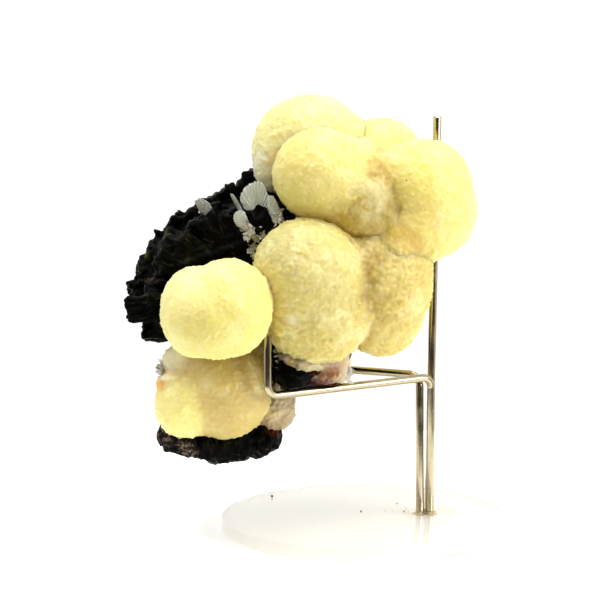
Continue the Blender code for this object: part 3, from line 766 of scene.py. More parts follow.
# The balls that fill the hollows, middle, middle_front, upper_gap, right_side_top, gold_gap and side_gap,
# have darker, warmer gold colours as painted shade.
UPPER_BALLS = {             # middle, half-widths, colour, and size of the tips over the usual one
    "heart": ((-6.0, -2.0, 74.0), (12.5, 13.5, 17.5), "EBE088", 1.0),
    "top": ((-13.4, -2.0, 96.7), (14.1, 12.6, 12.8), "E4DA90", 1.2),
    "top_corner": ((-23.6, -8.6, 91.8), (3.4, 3.6, 5.0), "D6D4B4", 1.0),
    "upper_front": ((-10.9, -15.0, 91.0), (11.7, 12.0, 11.2), "E3D682", 1.0),
    "upper_middle": ((4.6, 1.0, 93.4), (9.9, 10.5, 10.2), "E4D67E", 1.0),
    "middle": ((1.8, -6.5, 78.6), (9.8, 9.6, 10.8), "DCC878", 1.5),
    "middle_front": ((-1.6, -15.2, 83.2), (9.6, 8.2, 7.6), "C9B056", 1.0),
    "upper_gap": ((2.2, -11.4, 91.2), (6.2, 7.4, 8.2), "DCC272", 1.5),
    "right_upper": ((15.0, -11.0, 88.0), (10.6, 11.4, 11.2), "EDDF84", 1.0),
    "right_lower": ((16.2, -10.4, 81.6), (10.8, 11.6, 11.2), "EFDF88", 1.3),
    "centre": ((-14.3, -21.8, 68.0), (13.1, 12.6, 13.0), "D2C57C", 1.3),
    "centre_low": ((-12.3, -19.5, 56.5), (12.0, 11.0, 11.3), "D0C172", 1.7),
    "right_side": ((6.0, -12.0, 64.4), (10.0, 11.2, 11.8), "D4C06E", 1.9),
    "right_side_low": ((4.0, -11.0, 56.8), (9.6, 10.0, 10.4), "D6C372", 1.9),
    "right_side_top": ((0.4, -14.0, 71.4), (7.2, 8.2, 6.8), "BFA658", 1.5),
    "gold_gap": ((8.4, -13.6, 75.4), (7.2, 7.6, 6.2), "DFC264", 1.0),
    "side_gap": ((0.9, -15.2, 62.0), (5.6, 7.0, 9.0), "CDB668", 1.4),
    "left_main": ((-32.8, -31.2, 60.8), (10.3, 11.4, 11.6), "E6DB84", 1.0),
    "left_side": ((-41.0, -29.2, 59.6), (8.2, 9.6, 10.8), "E8DE8A", 1.0),
    "left_front": ((-35.9, -30.2, 59.2), (13.0, 12.9, 10.4), "E4D982", 1.0),
    "far_upper": ((-17.0, 16.5, 82.0), (11.4, 10.6, 11.2), "EBE088", 1.0),
    "far_right": ((3.5, 14.5, 72.5), (11.6, 11.2, 11.8), "EBE088", 1.0),
    "far_low": ((-9.0, 15.5, 56.0), (10.2, 9.4, 9.8), "EBE088", 1.0),
}
FAR_BALLS = {
    "far_left": ((-34.5, 16.0, 65.0), (9.6, 9.2, 10.0), "EBE088", 1.0),
    "far_left_small": ((-43.0, 14.5, 58.6), (6.0, 6.2, 6.6), "EBE088", 1.0),
}
# lower_top, the top of the lower balls just under the left ball, is darker as painted shade.
LOWER_BALLS = {
    "lower_main": ((-34.2, -15.0, 38.0), (11.1, 10.6, 11.9), "CBB56C", 1.1),
    "lower_left": ((-44.4, -17.4, 34.8), (6.9, 8.2, 7.8), "E8DE8E", 1.2),
    "lower_shoulder": ((-44.9, -14.6, 44.6), (5.0, 5.2, 5.0), "D2CAA6", 1.0),
    "orange_lump": ((-50.0, -18.0, 40.1), (1.1, 1.4, 1.0), "D88A28", 1.0),
    "pale_ridge": ((-47.6, -19.4, 41.9), (2.3, 1.4, 0.8), "EFEACB", 1.0),
    "lower_top": ((-32.0, -11.5, 46.4), (8.8, 7.0, 5.0), "CCB87A", 1.0),
}
BEIGE_BALL = {
    "lower_right": ((-23.3, -8.6, 33.2), (6.1, 6.4, 6.6), "AC9772", 1.3),
}
# The two left lumps, under_left and under_middle, are darker partly from the crust's own grey and partly as
# painted shade under the centre balls.
CRUST_BALLS = {
    "under_left": ((-18.8, -22.0, 48.0), (2.2, 3.2, 2.0), "605A48", 1.0),
    "under_middle": ((-15.9, -22.4, 46.6), (2.3, 3.6, 2.1), "6E6450", 1.0),
    "under_right_middle": ((-12.4, -21.4, 46.2), (2.6, 3.8, 1.9), "A89C82", 1.0),
    "under_right": ((-8.9, -19.6, 46.4), (2.8, 4.0, 2.4), "9A7C70", 1.0),
    "under_right_top": ((-6.2, -17.4, 47.6), (2.2, 3.0, 2.2), "B0AC9E", 1.0),
    "fringe": ((-5.6, -17.2, 43.4), (2.1, 3.4, 2.8), "D4C8B4", 1.0),
    "stained": ((-9.0, -18.8, 42.2), (2.7, 2.6, 1.6), "5E2012", 1.0),
    "stained_left": ((-12.0, -19.4, 42.2), (2.2, 2.2, 1.4), "2E120A", 1.0),
}
# Rust, dark specks and grey and pale patches stain the balls. The darker gold places in the hollows between
# balls and under their edges are painted shade, and the pale place on the left ball's upper side is a painted
# highlight.
STAINS_PAINTED_SHADE_AND_HIGHLIGHT = (             # stains, painted shade and a painted highlight on the balls: middle, reach, colour, strength
    ((6.0, -17.0, 80.0), 5.0, "DDBA5A", 0.4), ((10.0, -17.5, 74.5), 5.0, "DBB656", 0.35),
    ((-5.6, -23.0, 82.2), 4.0, "BAA448", 0.7), ((2.2, -22.0, 85.2), 5.0, "947E1E", 0.92),
    ((3.8, -21.4, 81.6), 4.2, "A08A2C", 0.8), ((-1.0, -23.4, 80.4), 4.0, "B8A042", 0.6),
    ((2.2, -18.6, 92.0), 4.0, "D4B866", 0.6), ((-7.8, -22.5, 78.6), 1.4, "8F7430", 0.7),
    ((-3.4, -23.4, 76.8), 1.5, "8F7430", 0.8), ((1.6, -22.4, 77.0), 1.5, "957830", 0.7),
    ((-1.5, -22.0, 67.0), 4.6, "BFA24C", 0.5), ((-1.4, -21.5, 61.0), 5.0, "B89C48", 0.55),
    ((-24.0, -9.0, 90.0), 4.5, "D2D0B8", 0.5),
    ((-24.0, -27.0, 75.0), 6.0, "CAC68E", 0.5), ((-34.0, -20.0, 47.5), 5.0, "B09A60", 0.3),
    ((-44.0, -37.0, 68.0), 8.0, "F4F0B8", 0.6), ((-17.4, -29.6, 57.7), 1.7, "F8F4D8", 0.85),
    ((-16.9, -25.8, 46.0), 0.7, "3C2C1C", 0.9), ((-15.0, -25.4, 45.4), 0.5, "4A3222", 0.8),
    ((-13.6, -25.0, 46.4), 0.4, "4A3222", 0.8), ((-8.0, -21.2, 43.2), 0.8, "C0603A", 0.8),
    ((-10.2, -21.2, 42.2), 0.7, "D08C70", 0.7), ((-7.4, -21.0, 44.6), 0.8, "6A2A18", 0.8),
)
BALL_PARTS = {              # the upper balls in pieces, which meet in the hollows between them
    "crystalline_upper_balls": ("top", "top_corner"),
    "crystalline_right_balls": ("upper_front", "upper_middle", "middle", "middle_front", "upper_gap",
                                "right_upper", "right_lower", "gold_gap"),
    "crystalline_middle_balls": ("centre", "centre_low", "right_side", "right_side_low", "right_side_top",
                                 "side_gap"),
    "crystalline_left_ball": ("left_main", "left_side", "left_front"),
    "crystalline_hidden_balls": ("heart", "far_upper", "far_right", "far_low"),
}
GROWN_INTO_ONE = {          # each ball with the others that it grew into one with
    "right_side": "right_side_low right_side_top gold_gap side_gap right_lower",
    "middle_front": "middle upper_front upper_gap gold_gap",
    "side_gap": "centre centre_low right_side_low right_side_top",
    "right_lower": "right_upper right_side_top gold_gap",
    "upper_gap": "upper_front upper_middle right_upper", "left_front": "left_main left_side",
    "centre": "centre_low", "top": "top_corner", "far_left": "far_left_small", "middle": "heart",
    "lower_main": "lower_top", "gold_gap": "right_side_top",
}
SOFTLY_MET = {              # and with those that it met softly
    "upper_middle": "right_upper middle upper_front middle_front top",
    "middle": "right_lower right_side upper_front right_side_top",
    "middle_front": "right_lower right_upper", "centre": "right_side_top right_side",
    "lower_main": "lower_left", "lower_top": "lower_shoulder",
}
FIRST_VOXEL = 0.6
FINE_VOXEL = 0.36
HIDDEN_VOXEL = 0.5
CRUST_VOXEL = 0.3
CRUST_LUMP_HEIGHT = 0.45
WIDE_FILLET = 7.0           # how far from a crease the balls that grew into one are filled out
SOFT_FILLET = 4.5
FILLET = 2.4
PARTING = 0.7               # 1 minus the cosine of the angle at which a crease counts fully
BLEND_WIDTH = 0.9           # over which the colours of two balls run into each other
# The shade painted into the creases between balls: how fast it fades from a crease, and how deep it is
PAINTED_SHADE_WIDTH = 3.2
PAINTED_SHADE_DEPTHS = (1.0, 0.6, 0.0)     # between balls that touch, met softly, and grew into one
LUMP_HEIGHT = 0.22
LUMP_WIDTH = 2.6
TIP_SPACING = 0.95
TIP_DENSITY = 4e6           # a square metre, more than the spacing lets through
TIP_KINDS = 6
TIP_SIDES = 6
TIP_SOFTENINGS = 2
TIP_SIZE = (0.55, 1.1)      # the smallest and largest width of a crystal tip
TIP_HEIGHT = 0.48           # over its width
TIP_TILT = 0.22             # radians


def outside_of(places, shapes):
    """How far each place lies outside each ball, in millimetres."""
    return np.array([(np.linalg.norm((places - centre) / half, axis=1) - 1.0) * np.mean(half)
                     for centre, half, *looks in shapes.values()])


def partings(places, shapes):
    """How far each two balls' surfaces turn away from each other at each place, from 0 to 1."""
    ways = []
    for centre, half, *looks in shapes.values():
        way = (places - centre) / np.array(half) ** 2
        ways.append(way / np.maximum(np.linalg.norm(way, axis=1), 1e-6)[:, None])
    return [[np.clip((1.0 - np.einsum("ij,ij->i", way, other)) / PARTING, 0.0, 1.0) for other in ways]
            for way in ways]


def pairs_of(shapes):
    """Every two balls' numbers, with 2 if they grew into one, 1 if they met softly, or else 0."""
    for (index, name), (other, other_name) in itertools.permutations(enumerate(shapes), 2):
        grown, met = (other_name in table.get(name, "").split() or name in table.get(other_name, "").split()
                      for table in (GROWN_INTO_ONE, SOFTLY_MET))
        yield index, other, 2 if grown else 1 if met else 0


def fill_creases(piece, members, shapes):
    """Rounds the creases between the piece's own balls and all others, more where two grew into one."""
    mesh = piece.data
    places = mesh_places(mesh)
    outside = outside_of(places, shapes)
    parting = partings(places, shapes)
    own = [index for index, name in enumerate(shapes) if name in members]
    nearest = np.array(own)[outside[own].argmin(axis=0)]
    lowest = outside[own].min(axis=0)
    lift = np.zeros(len(places))
    for index, other, met in pairs_of(shapes):
        width = (FILLET, SOFT_FILLET, WIDE_FILLET)[met]
        share = np.clip(1.0 - (outside[other] - lowest) / width, 0.0, 1.0)
        fill = share ** 2 * width / 4.0 * parting[index][other]
        lift = np.maximum(lift, np.where(nearest == index, fill, 0.0))
    places += mesh_normals(mesh) * lift[:, None]
    mesh.vertices.foreach_set("co", (places * MM).astype(np.float32).ravel())


def paint_balls(mesh, shapes):
    """Stores each point's colour, blended from its balls, with the stains, painted shade and painted
    highlight laid over it, the shade painted into the creases between balls, and its coarseness.
    """
    places = mesh_places(mesh)
    outside = outside_of(places, shapes)
    parting = partings(places, shapes)
    nearest, lowest = outside.argmin(axis=0), outside.min(axis=0)
    weights = np.exp(-(outside - lowest) / BLEND_WIDTH)
    weights /= weights.sum(axis=0)
    tints = weights.T @ np.array([linear(colour) for *form, colour, tip_size in shapes.values()])
    # Lays the stains, the painted shade and the painted highlight over the balls' colours
    for centre, reach, tint, strength in STAINS_PAINTED_SHADE_AND_HIGHLIGHT:
        away = np.linalg.norm(places - np.array(centre), axis=1)
        share = (strength * np.exp(-(away / reach) ** 2))[:, None]
        tints = tints * (1.0 - share) + np.array(linear(tint)) * share
    # Shade is painted deeper where a point lies close to another ball, in the crease between them
    valley = np.zeros(len(places))
    for index, other, met in pairs_of(shapes):
        near_other = np.exp(-(outside[other] - lowest) / PAINTED_SHADE_WIDTH) * PAINTED_SHADE_DEPTHS[met]
        near_other *= parting[index][other] ** 2
        valley = np.maximum(valley, np.where(nearest == index, near_other, 0.0))
    mesh.attributes.new("ball_colour", "FLOAT_COLOR", "POINT").data.foreach_set(
        "color", tints.astype(np.float32).ravel())
    tip_sizes = np.array([row[-1] for row in shapes.values()])
    store_values(mesh, valley=valley, coarse=weights.T @ tip_sizes)


def crystal_coat():
    """Swells a surface into soft lumps and sets crystals close together over it, pointing outwards."""
    group, given, result = make_group("crystal_coat", {
        "Crystals": "Collection", "Kinds": "Int", "Spacing": "Float", "Smallest": "Float", "Largest": "Float",
        "Tilt": "Float", "Lump height": "Float", "Lump width": "Float", "Seed": "Int"})
    place = add_node(group, "GeometryNodeInputPosition")
    in_lumps = add_node(group, "VectorMath", (place, given["Lump width"]), operation="DIVIDE")
    lumps = add_node(group, "TexNoise", {"Vector": in_lumps, "Scale": 1.0, "Detail": 1.0})
    lump = add_node(group, "MapRange", (lumps, 0.3, 0.7, -1.0, 1.0))
    height = add_node(group, "Math", (lump, given["Lump height"]), operation="MULTIPLY")
    normal = add_node(group, "GeometryNodeInputNormal")
    offset = add_node(group, "VectorMath", (normal, height), operation="SCALE")
    lumpy = add_node(group, "GeometryNodeSetPosition", {"Geometry": given["Geometry"], "Offset": offset})
    spread = add_node(group, "GeometryNodeDistributePointsOnFaces", {
        "Mesh": lumpy, "Distance Min": given["Spacing"], "Density Max": TIP_DENSITY, "Seed": given["Seed"]},
        distribute_method="POISSON")
    one_way = add_node(group, "CombineXYZ", (given["Tilt"], given["Tilt"], math.pi))
    other_way = add_node(group, "VectorMath", (one_way, -1.0), operation="SCALE")
    lean = add_node(group, "FunctionNodeRandomValue", {0: other_way, 1: one_way, "Seed": 1},
                    data_type="FLOAT_VECTOR")
    leaning = add_node(group, "FunctionNodeEulerToRotation", (lean,))
    turned = add_node(group, "FunctionNodeRotateRotation", (spread.outputs["Rotation"], leaning),
                      rotation_space="LOCAL")
    width = add_node(group, "FunctionNodeRandomValue", {2: given["Smallest"], 3: given["Largest"], "Seed": 2},
                     data_type="FLOAT")
    coarse = add_node(group, "GeometryNodeInputNamedAttribute", {"Name": "coarse"}, data_type="FLOAT")
    size = add_node(group, "Math", (width, coarse), operation="MULTIPLY")
    kind = add_node(group, "FunctionNodeRandomValue", {4: 0, 5: given["Kinds"], "Seed": 3}, data_type="INT")
    tips = add_crystals(group, given, spread, kind, turned, size)
    both = add_node(group, "GeometryNodeJoinGeometry")
    for part in (tips, lumpy):
        group.links.new(part.outputs[0], both.inputs[0])
    group.links.new(both.outputs[0], result)
    return group


def fine_stilbite(name, scatter, depth):
    """Stilbite in fine radiating crystals: pearly, and it scatters light a few millimetres deep."""
    material, tree, shader = new_material(name, IOR=1.5, Subsurface_Weight=1.0, Subsurface_Radius=scatter,
                                          Subsurface_Scale=depth * MM)
    place = object_place(tree)
    colour = add_node(tree, "Attribute", attribute_name="ball_colour").outputs["Color"]
    valley = add_node(tree, "Attribute", attribute_name="valley").outputs["Fac"]
    clouds = add_node(tree, "TexNoise", {"Vector": place, "Scale": 0.16, "Detail": 3.0})
    grain = add_node(tree, "TexNoise", {"Vector": place, "Scale": 1.3, "Detail": 3.0})
    facets = add_node(tree, "TexVoronoi", {"Vector": place, "Scale": 1.7}, distance="CHEBYCHEV")
    glints = add_node(tree, "SeparateColor", (facets.outputs["Color"],))
    # The creases between balls are painted a darker gold here, as shade
    in_valley = add_node(tree, "MapRange", (valley, 0.3, 1.0, 0.0, 0.45))
    deep = add_node(tree, "Mix", (in_valley, colour, linear("CFA84A")), data_type="RGBA")
    in_cloud = add_node(tree, "MapRange", (clouds, 0.5, 0.75, 0.0, 0.5))
    cloudy = add_node(tree, "Mix", (in_cloud, deep, linear("F3EDB8")), data_type="RGBA")
    bright = add_node(tree, "MapRange", (glints, 0.0, 1.0, 0.97, 1.02))
    fill_inputs(tree, shader, {
        "Base Color": add_node(tree, "Mix", (1.0, cloudy, bright), data_type="RGBA", blend_type="MULTIPLY"),
        "Roughness": add_node(tree, "MapRange", (grain, 0.3, 0.7, 0.35, 0.6)),
        "Normal": add_node(tree, "Bump", {"Height": facets, "Strength": 0.1, "Distance": 0.16 * MM},
                           invert=True)})
    return material


# Pale yellow stilbite lets red and green light in deeper than blue, and the grey-white crust hardly does
yellow_stilbite = fine_stilbite("pale_yellow_stilbite", (1.0, 0.8, 0.38), 5.0)
grey_stilbite = fine_stilbite("grey_white_stilbite_crust", (1.0, 0.92, 0.8), 1.2)

coat = crystal_coat()
tip_kinds = crystal_kinds("stilbite_tip", TIP_KINDS, TIP_SIDES, low=-0.6, bevel=0.8, narrowed=0.25, slant=0.4)
for kind in tip_kinds.objects:
    for point in kind.data.vertices:
        point.co.z = point.co.z * TIP_HEIGHT if point.co.z > 0.0 else point.co.z


def make_balls(name, node_name, members, shapes, seed, voxel=FINE_VOXEL, material=yellow_stilbite,
               lump_height=LUMP_HEIGHT, softenings=TIP_SOFTENINGS):
    """Some balls of a group as one closed surface, coated with crystal tips, in place of a node."""
    balls = joined_ellipsoids(name, {member: shapes[member] for member in members}, FIRST_VOXEL)
    fill_creases(balls, members, shapes)
    paint_balls(balls.data, shapes)
    run_group(balls, coat, {
        "Crystals": tip_kinds, "Kinds": TIP_KINDS - 1, "Spacing": TIP_SPACING * MM,
        "Smallest": TIP_SIZE[0] * MM, "Largest": TIP_SIZE[1] * MM, "Tilt": TIP_TILT,
        "Lump height": lump_height * MM, "Lump width": LUMP_WIDTH * MM, "Seed": seed})
    remeshed(balls, voxel, softenings)
    places = np.clip(mesh_places(balls.data) * MM, np.array(solid_box[0]), np.array(solid_box[1]))
    balls.data.vertices.foreach_set("co", places.astype(np.float32).ravel())
    paint_balls(balls.data, shapes)
    balls.data.materials.clear()
    balls.data.materials.append(material)
    balls.data.shade_smooth()
    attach(balls, "root")
    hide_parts(node_name)
    return balls


ball_pieces = [make_balls(name, "stilbite_balls", members, UPPER_BALLS, seed,
                          HIDDEN_VOXEL if name == "crystalline_hidden_balls" else FINE_VOXEL)
               for seed, (name, members) in enumerate(BALL_PARTS.items())]
ball_pieces.append(make_balls("crystalline_crust", "stilbite_balls", list(CRUST_BALLS), CRUST_BALLS, 10,
                              CRUST_VOXEL, grey_stilbite, CRUST_LUMP_HEIGHT, 0))
ball_pieces.append(make_balls("crystalline_lower_balls", "stilbite_balls_lower", list(LOWER_BALLS),
                              LOWER_BALLS, 11))
ball_pieces.append(make_balls("crystalline_beige_ball", "stilbite_balls_lower", list(BEIGE_BALL),
                              BEIGE_BALL, 13, CRUST_VOXEL, grey_stilbite, CRUST_LUMP_HEIGHT, 1))
make_balls("crystalline_far_balls", "stilbite_balls_far", list(FAR_BALLS), FAR_BALLS, 12, HIDDEN_VOXEL)
forget_kinds(tip_kinds)


# The white stilbite
# White and grey stilbite crystals that grew between the epidote's ribs: a radiating blade, a lens, two
# smaller blades and a six-sided bar, all translucent. Sprays of small crystals stand at their feet and
# on the lower balls, and a few small prisms under the middle ball.

BLADES = {                  # foot, place along Y, thickness, outline (x and z) from one side to the other
    "radiating_blade": ((-26.2, 80.6), -15.2, 1.3, (
        (-29.6, 82.6), (-30.7, 85.4), (-29.9, 87.6), (-28.2, 89.2), (-26.7, 89.8), (-25.1, 89.2),
        (-24.0, 87.4), (-23.3, 84.8), (-23.6, 82.4))),
    "lens_blade": ((-29.2, 77.6), -17.0, 1.1, (
        (-31.4, 78.8), (-32.3, 80.4), (-31.9, 82.0), (-30.6, 82.9), (-29.3, 82.3), (-28.6, 80.4))),
    "right_blade": ((-21.2, 79.8), -17.2, 1.2, (
        (-22.8, 81.2), (-24.0, 83.8), (-23.7, 86.4), (-22.4, 86.2), (-21.3, 84.2), (-20.4, 81.4))),
}
LEFT_BLADE = ((-37.3, 81.2), -16.0, 1.6, (
    (-39.0, 81.2), (-40.9, 83.2), (-41.6, 84.9), (-40.0, 85.6), (-38.0, 84.5), (-36.9, 82.4)))
BLADE_RINGS = 8
BLADE_STATIONS = 42
BLADE_BOW = 0.7
BLADE_RIB = 0.16
BLADE_RIB_HEIGHTS = (0.5, 1.0)      # by which the ribs vary
BLADE_REACH = (0.93, 1.0)           # by which the outline is ragged
BLADE_THINNING = 0.55               # by which a blade is thinner at its rim
BLADE_SHARP_ANGLE = 50.0
BAR = ((-28.2, -17.0, 78.6), (-32.5, -17.8, 86.6), 1.1)
SPRAYS = {                  # middle, spread of the feet, aim, crystals, shortest and longest
    "below_blades": ((-27.2, -16.6, 77.0), (1.9, 0.3, 1.1), (-0.05, -0.3, 0.1), 80, 1.1, 2.2),
    "beside_ball": ((-27.6, -15.4, 73.6), (0.6, 0.4, 1.8), (-0.2, -0.3, 0.0), 40, 1.0, 1.9),
    "right_foot": ((-21.4, -17.0, 81.0), (0.9, 0.4, 1.4), (0.0, -0.3, 0.0), 44, 1.1, 2.1),
    "left_ridge": ((-39.2, -15.4, 82.0), (1.2, 0.4, 0.5), (-0.2, -0.4, 0.2), 10, 0.8, 1.6),
}
LOWER_SPRAYS = {
    "left_sprig": ((-49.6, -16.2, 43.4), (0.4, 1.8, 1.9), (-0.7, -0.2, 0.1), 46, 0.9, 1.9),
}
HOOK_SPRAYS = {
    "fringe_tips": ((-4.6, -17.4, 43.2), (1.2, 2.4, 1.6), (0.6, -0.7, -0.35), 30, 0.9, 1.9),
    "hollow_tips": ((-20.2, -19.6, 46.6), (0.9, 0.8, 1.0), (-0.5, -0.8, 0.1), 14, 0.8, 1.5),
}
HOOK_PRISMS = (             # foot, tip, width, depth
    ((-21.2, -15.0, 48.0), (-22.0, -19.8, 48.6), 1.7, 1.5),
    ((-20.4, -15.0, 44.4), (-21.0, -20.6, 44.7), 2.9, 1.0),
    ((-20.8, -15.0, 40.2), (-21.4, -21.6, 40.3), 1.9, 1.9),
)
WHITE_KINDS = 5
SPRAY_SCATTER = 0.5         # of the feet, over the spread
SPRAY_LEAN = 0.4
SPRAY_WIDTH = (0.5, 0.85)   # of a spray crystal, over its length
SPRAY_DEPTH = (0.4, 0.75)   # over its width


def blade_mesh(name, foot, depth_place, thickness, outline, material):
    """A thin, bowed blade whose ribs radiate from its foot to a ragged outline."""
    chance = random.Random(name)
    rim = []
    for station in range(BLADE_STATIONS):
        along = station / (BLADE_STATIONS - 1) * (len(outline) - 1)
        index = min(int(along), len(outline) - 2)
        start, end = Vector(outline[index]), Vector(outline[index + 1])
        rim.append(start.lerp(end, along - index))
    points, faces = [], []
    for facing in (-1.0, 1.0):
        points.append((foot[0], depth_place + facing * thickness * 0.5, foot[1]))
        for station, edge in enumerate(rim):
            reach = chance.uniform(*BLADE_REACH)
            rib = (1.0 if station % 3 else -1.0) * BLADE_RIB * chance.uniform(*BLADE_RIB_HEIGHTS)
            bow = 1.0 - (2.0 * station / (BLADE_STATIONS - 1) - 1.0) ** 2
            for ring in range(1, BLADE_RINGS + 1):
                share = ring / BLADE_RINGS * reach
                thin = thickness * 0.5 * (1.0 - BLADE_THINNING * share ** 2) + rib * min(1.0, 2.0 * share)
                points.append((foot[0] + (edge.x - foot[0]) * share,
                               depth_place + facing * thin - BLADE_BOW * bow * share,
                               foot[1] + (edge.y - foot[1]) * share))
    sheet = 1 + BLADE_STATIONS * BLADE_RINGS
    for low in (0, sheet):
        for station in range(BLADE_STATIONS - 1):
            here, after = low + 1 + station * BLADE_RINGS, low + 1 + (station + 1) * BLADE_RINGS
            faces.append((low, here, after))
            faces += [(here + ring, here + ring + 1, after + ring + 1, after + ring)
                      for ring in range(BLADE_RINGS - 1)]
    for station in range(BLADE_STATIONS - 1):
        here = 1 + station * BLADE_RINGS + BLADE_RINGS - 1
        faces.append((here, here + BLADE_RINGS, here + BLADE_RINGS + sheet, here + sheet))
    for first in (1, 1 + (BLADE_STATIONS - 1) * BLADE_RINGS):
        faces.append((0, first, first + sheet, sheet))
        faces += [(first + ring, first + ring + 1, first + ring + 1 + sheet, first + ring + sheet)
                  for ring in range(BLADE_RINGS - 1)]
    return piece_from(name, points, faces, material, BLADE_SHARP_ANGLE)


def spray_rows(sprays):
    """Small crystals that point roughly one way from feet scattered about a middle."""
    rows = []
    for name, (middle, spread, aim, count, shortest, longest) in sprays.items():
        chance = random.Random(name)
        for _ in range(count):
            length = chance.uniform(shortest, longest)
            width = length * chance.uniform(*SPRAY_WIDTH)
            foot = Vector(middle[axis] + chance.gauss(0.0, SPRAY_SCATTER) * spread[axis] for axis in range(3))
            way = Vector(aim) + Vector(chance.gauss(0.0, SPRAY_LEAN) for axis in range(3))
            rows.append({
                "place": foot, "aim": way.normalized(),
                "size": (width, width * chance.uniform(*SPRAY_DEPTH), length),
                "turn": chance.uniform(0.0, FULL_TURN), "kind": chance.randrange(WHITE_KINDS),
                "tone": chance.random(), "seed": chance.random()})
    return rows


def prism_row(foot, tip, width, depth, tone):
    """One crystal from its foot to its tip."""
    aim = Vector(tip) - Vector(foot)
    return {"place": Vector(foot), "aim": aim.normalized(), "size": (width, depth, aim.length), "turn": 0.0,
            "kind": 0, "tone": tone, "seed": 0.5}


def translucent_stilbite(name, transmission, low_colour, high_colour):
    """Translucent stilbite with a light haze inside and fine streaks on its faces."""
    material, tree, shader = new_material(
        name, IOR=1.5, Transmission_Weight=transmission, Subsurface_Weight=0.6,
        Subsurface_Radius=(1.0, 1.0, 0.9), Subsurface_Scale=0.6 * MM)
    place = object_place(tree)
    haze = add_node(tree, "TexNoise", {"Vector": place, "Scale": 0.7, "Detail": 3.0})
    streaks = add_node(tree, "TexNoise", {"Vector": place, "Scale": 3.0, "Detail": 2.0})
    fill_inputs(tree, shader, {
        "Base Color": add_node(tree, "Mix", (haze, linear(low_colour), linear(high_colour)),
                               data_type="RGBA"),
        "Roughness": add_node(tree, "MapRange", (haze, 0.3, 0.7, 0.25, 0.5)),
        "Normal": add_node(tree, "Bump", {"Height": streaks, "Strength": 0.3, "Distance": 0.1 * MM})})
    return material


# The blades are hazy white, and the bar is clearer, so that the epidote shows darkly through it
blade_stilbite = translucent_stilbite("translucent_white_stilbite", 0.18, "CACEC0", "EEF0E8")
bar_stilbite = translucent_stilbite("clear_grey_stilbite", 0.7, "B4B8AE", "DADCD4")
wedge_stilbite = translucent_stilbite("cloudy_grey_stilbite", 0.45, "A4A698", "DCDCD0")

# White stilbite in small crystals: pearly, a few of them stained beige
white_stilbite, tree, shader = new_material("white_stilbite", IOR=1.5)
tone = add_node(tree, "Attribute", attribute_name="tone").outputs["Fac"]
mottle = add_node(tree, "TexNoise", {"Vector": object_place(tree), "Scale": 0.8, "Detail": 3.0})
both = add_node(tree, "Math", (tone, mottle), operation="MULTIPLY")
stain = add_node(tree, "MapRange", (both, 0.2, 0.55))
fill_inputs(tree, shader, {
    "Base Color": add_node(tree, "Mix", (stain, linear("D2D0C8"), linear("948A76")), data_type="RGBA"),
    "Roughness": add_node(tree, "MapRange", (mottle, 0.3, 0.7, 0.25, 0.5))})

white_kinds = crystal_kinds("white_prism", WHITE_KINDS, 6, low=0.0, bevel=0.12, narrowed=0.6, slant=0.1)
shard_kinds = crystal_kinds("white_shard", WHITE_KINDS, 5, low=0.0, bevel=0.5, narrowed=0.3, slant=0.3)
blade_pieces = [blade_mesh(name, *row, blade_stilbite) for name, row in BLADES.items()]
blade_pieces.append(crystal_piece("six_sided_bar", [prism_row(*BAR[:2], BAR[2], BAR[2], 0.2)], white_kinds,
                                  bar_stilbite))
blade_pieces.append(crystal_piece("white_sprays", spray_rows(SPRAYS), shard_kinds, white_stilbite))
left_blade = blade_mesh("left_ridge_blade", *LEFT_BLADE, wedge_stilbite)
sprig = crystal_piece("left_sprig_crystals", spray_rows(LOWER_SPRAYS), shard_kinds, white_stilbite)
hook_prisms = crystal_piece("hook_prisms", [prism_row(*row, 1.8) for row in HOOK_PRISMS], white_kinds,
                            white_stilbite)
hook_crystals = crystal_piece("hook_crystals", spray_rows(HOOK_SPRAYS), shard_kinds, white_stilbite)
forget_kinds(white_kinds)
forget_kinds(shard_kinds)
for pieces, node_name in ((blade_pieces, "stilbite_blades"), ([left_blade], "stilbite_crystal_left"),
                          ([sprig], "stilbite_balls_lower"),
                          ([hook_prisms, hook_crystals], "stilbite_balls")):
    for piece in pieces:
        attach(piece, "root")
        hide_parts(node_name)


# The dark grains and the crumbs
# Epidote grains the size of sand that stuck to the balls, crumbs that fell on the disc, and the ring
# of dust and glue round the rods' feet.

GRAIN_PLACES = (
    (-8.7, -11.3, 103.0), (-14.1, -23.2, 97.9), (-12.2, -24.0, 98.4), (9.7, -20.1, 90.0), (13.9, -22.2, 88.0),
    (23.5, -18.3, 89.5), (13.8, -20.8, 83.0), (9.4, -11.4, 74.0), (13.6, -18.2, 74.3), (14.4, -18.2, 74.1),
)
GRAIN_SIZE = (0.3, 0.5)
LOOSE_GRAINS = 60
LOOSE_GRAIN_SIZE = (0.12, 0.26)
GRAIN_CORNERS = (0.6, 1.2)  # by which a grain's corners vary
CRUMBS = ((-23.3, 19.9, 0.85), (-0.5, 2.6, 0.7), (9.0, 11.7, 0.6), (10.4, 2.6, 0.55))
CRUMB_LIFT = 0.3            # of a crumb's middle over the disc, over its size
DUST_MIDDLE = (15.8, 3.0)
DUST_CRUMBS = 90
DUST_SIZE = (0.15, 0.4)
DUST_SPREAD = (4.6, 2.6)
GLUE_PROFILE = (            # radius, and height over the disc
    (0.0, -0.2), (2.1, -0.2), (2.1, 0.03), (1.575, 0.1), (1.218, 0.35), (ROD_RADIUS + 0.02, 0.7), (0.0, 0.7))


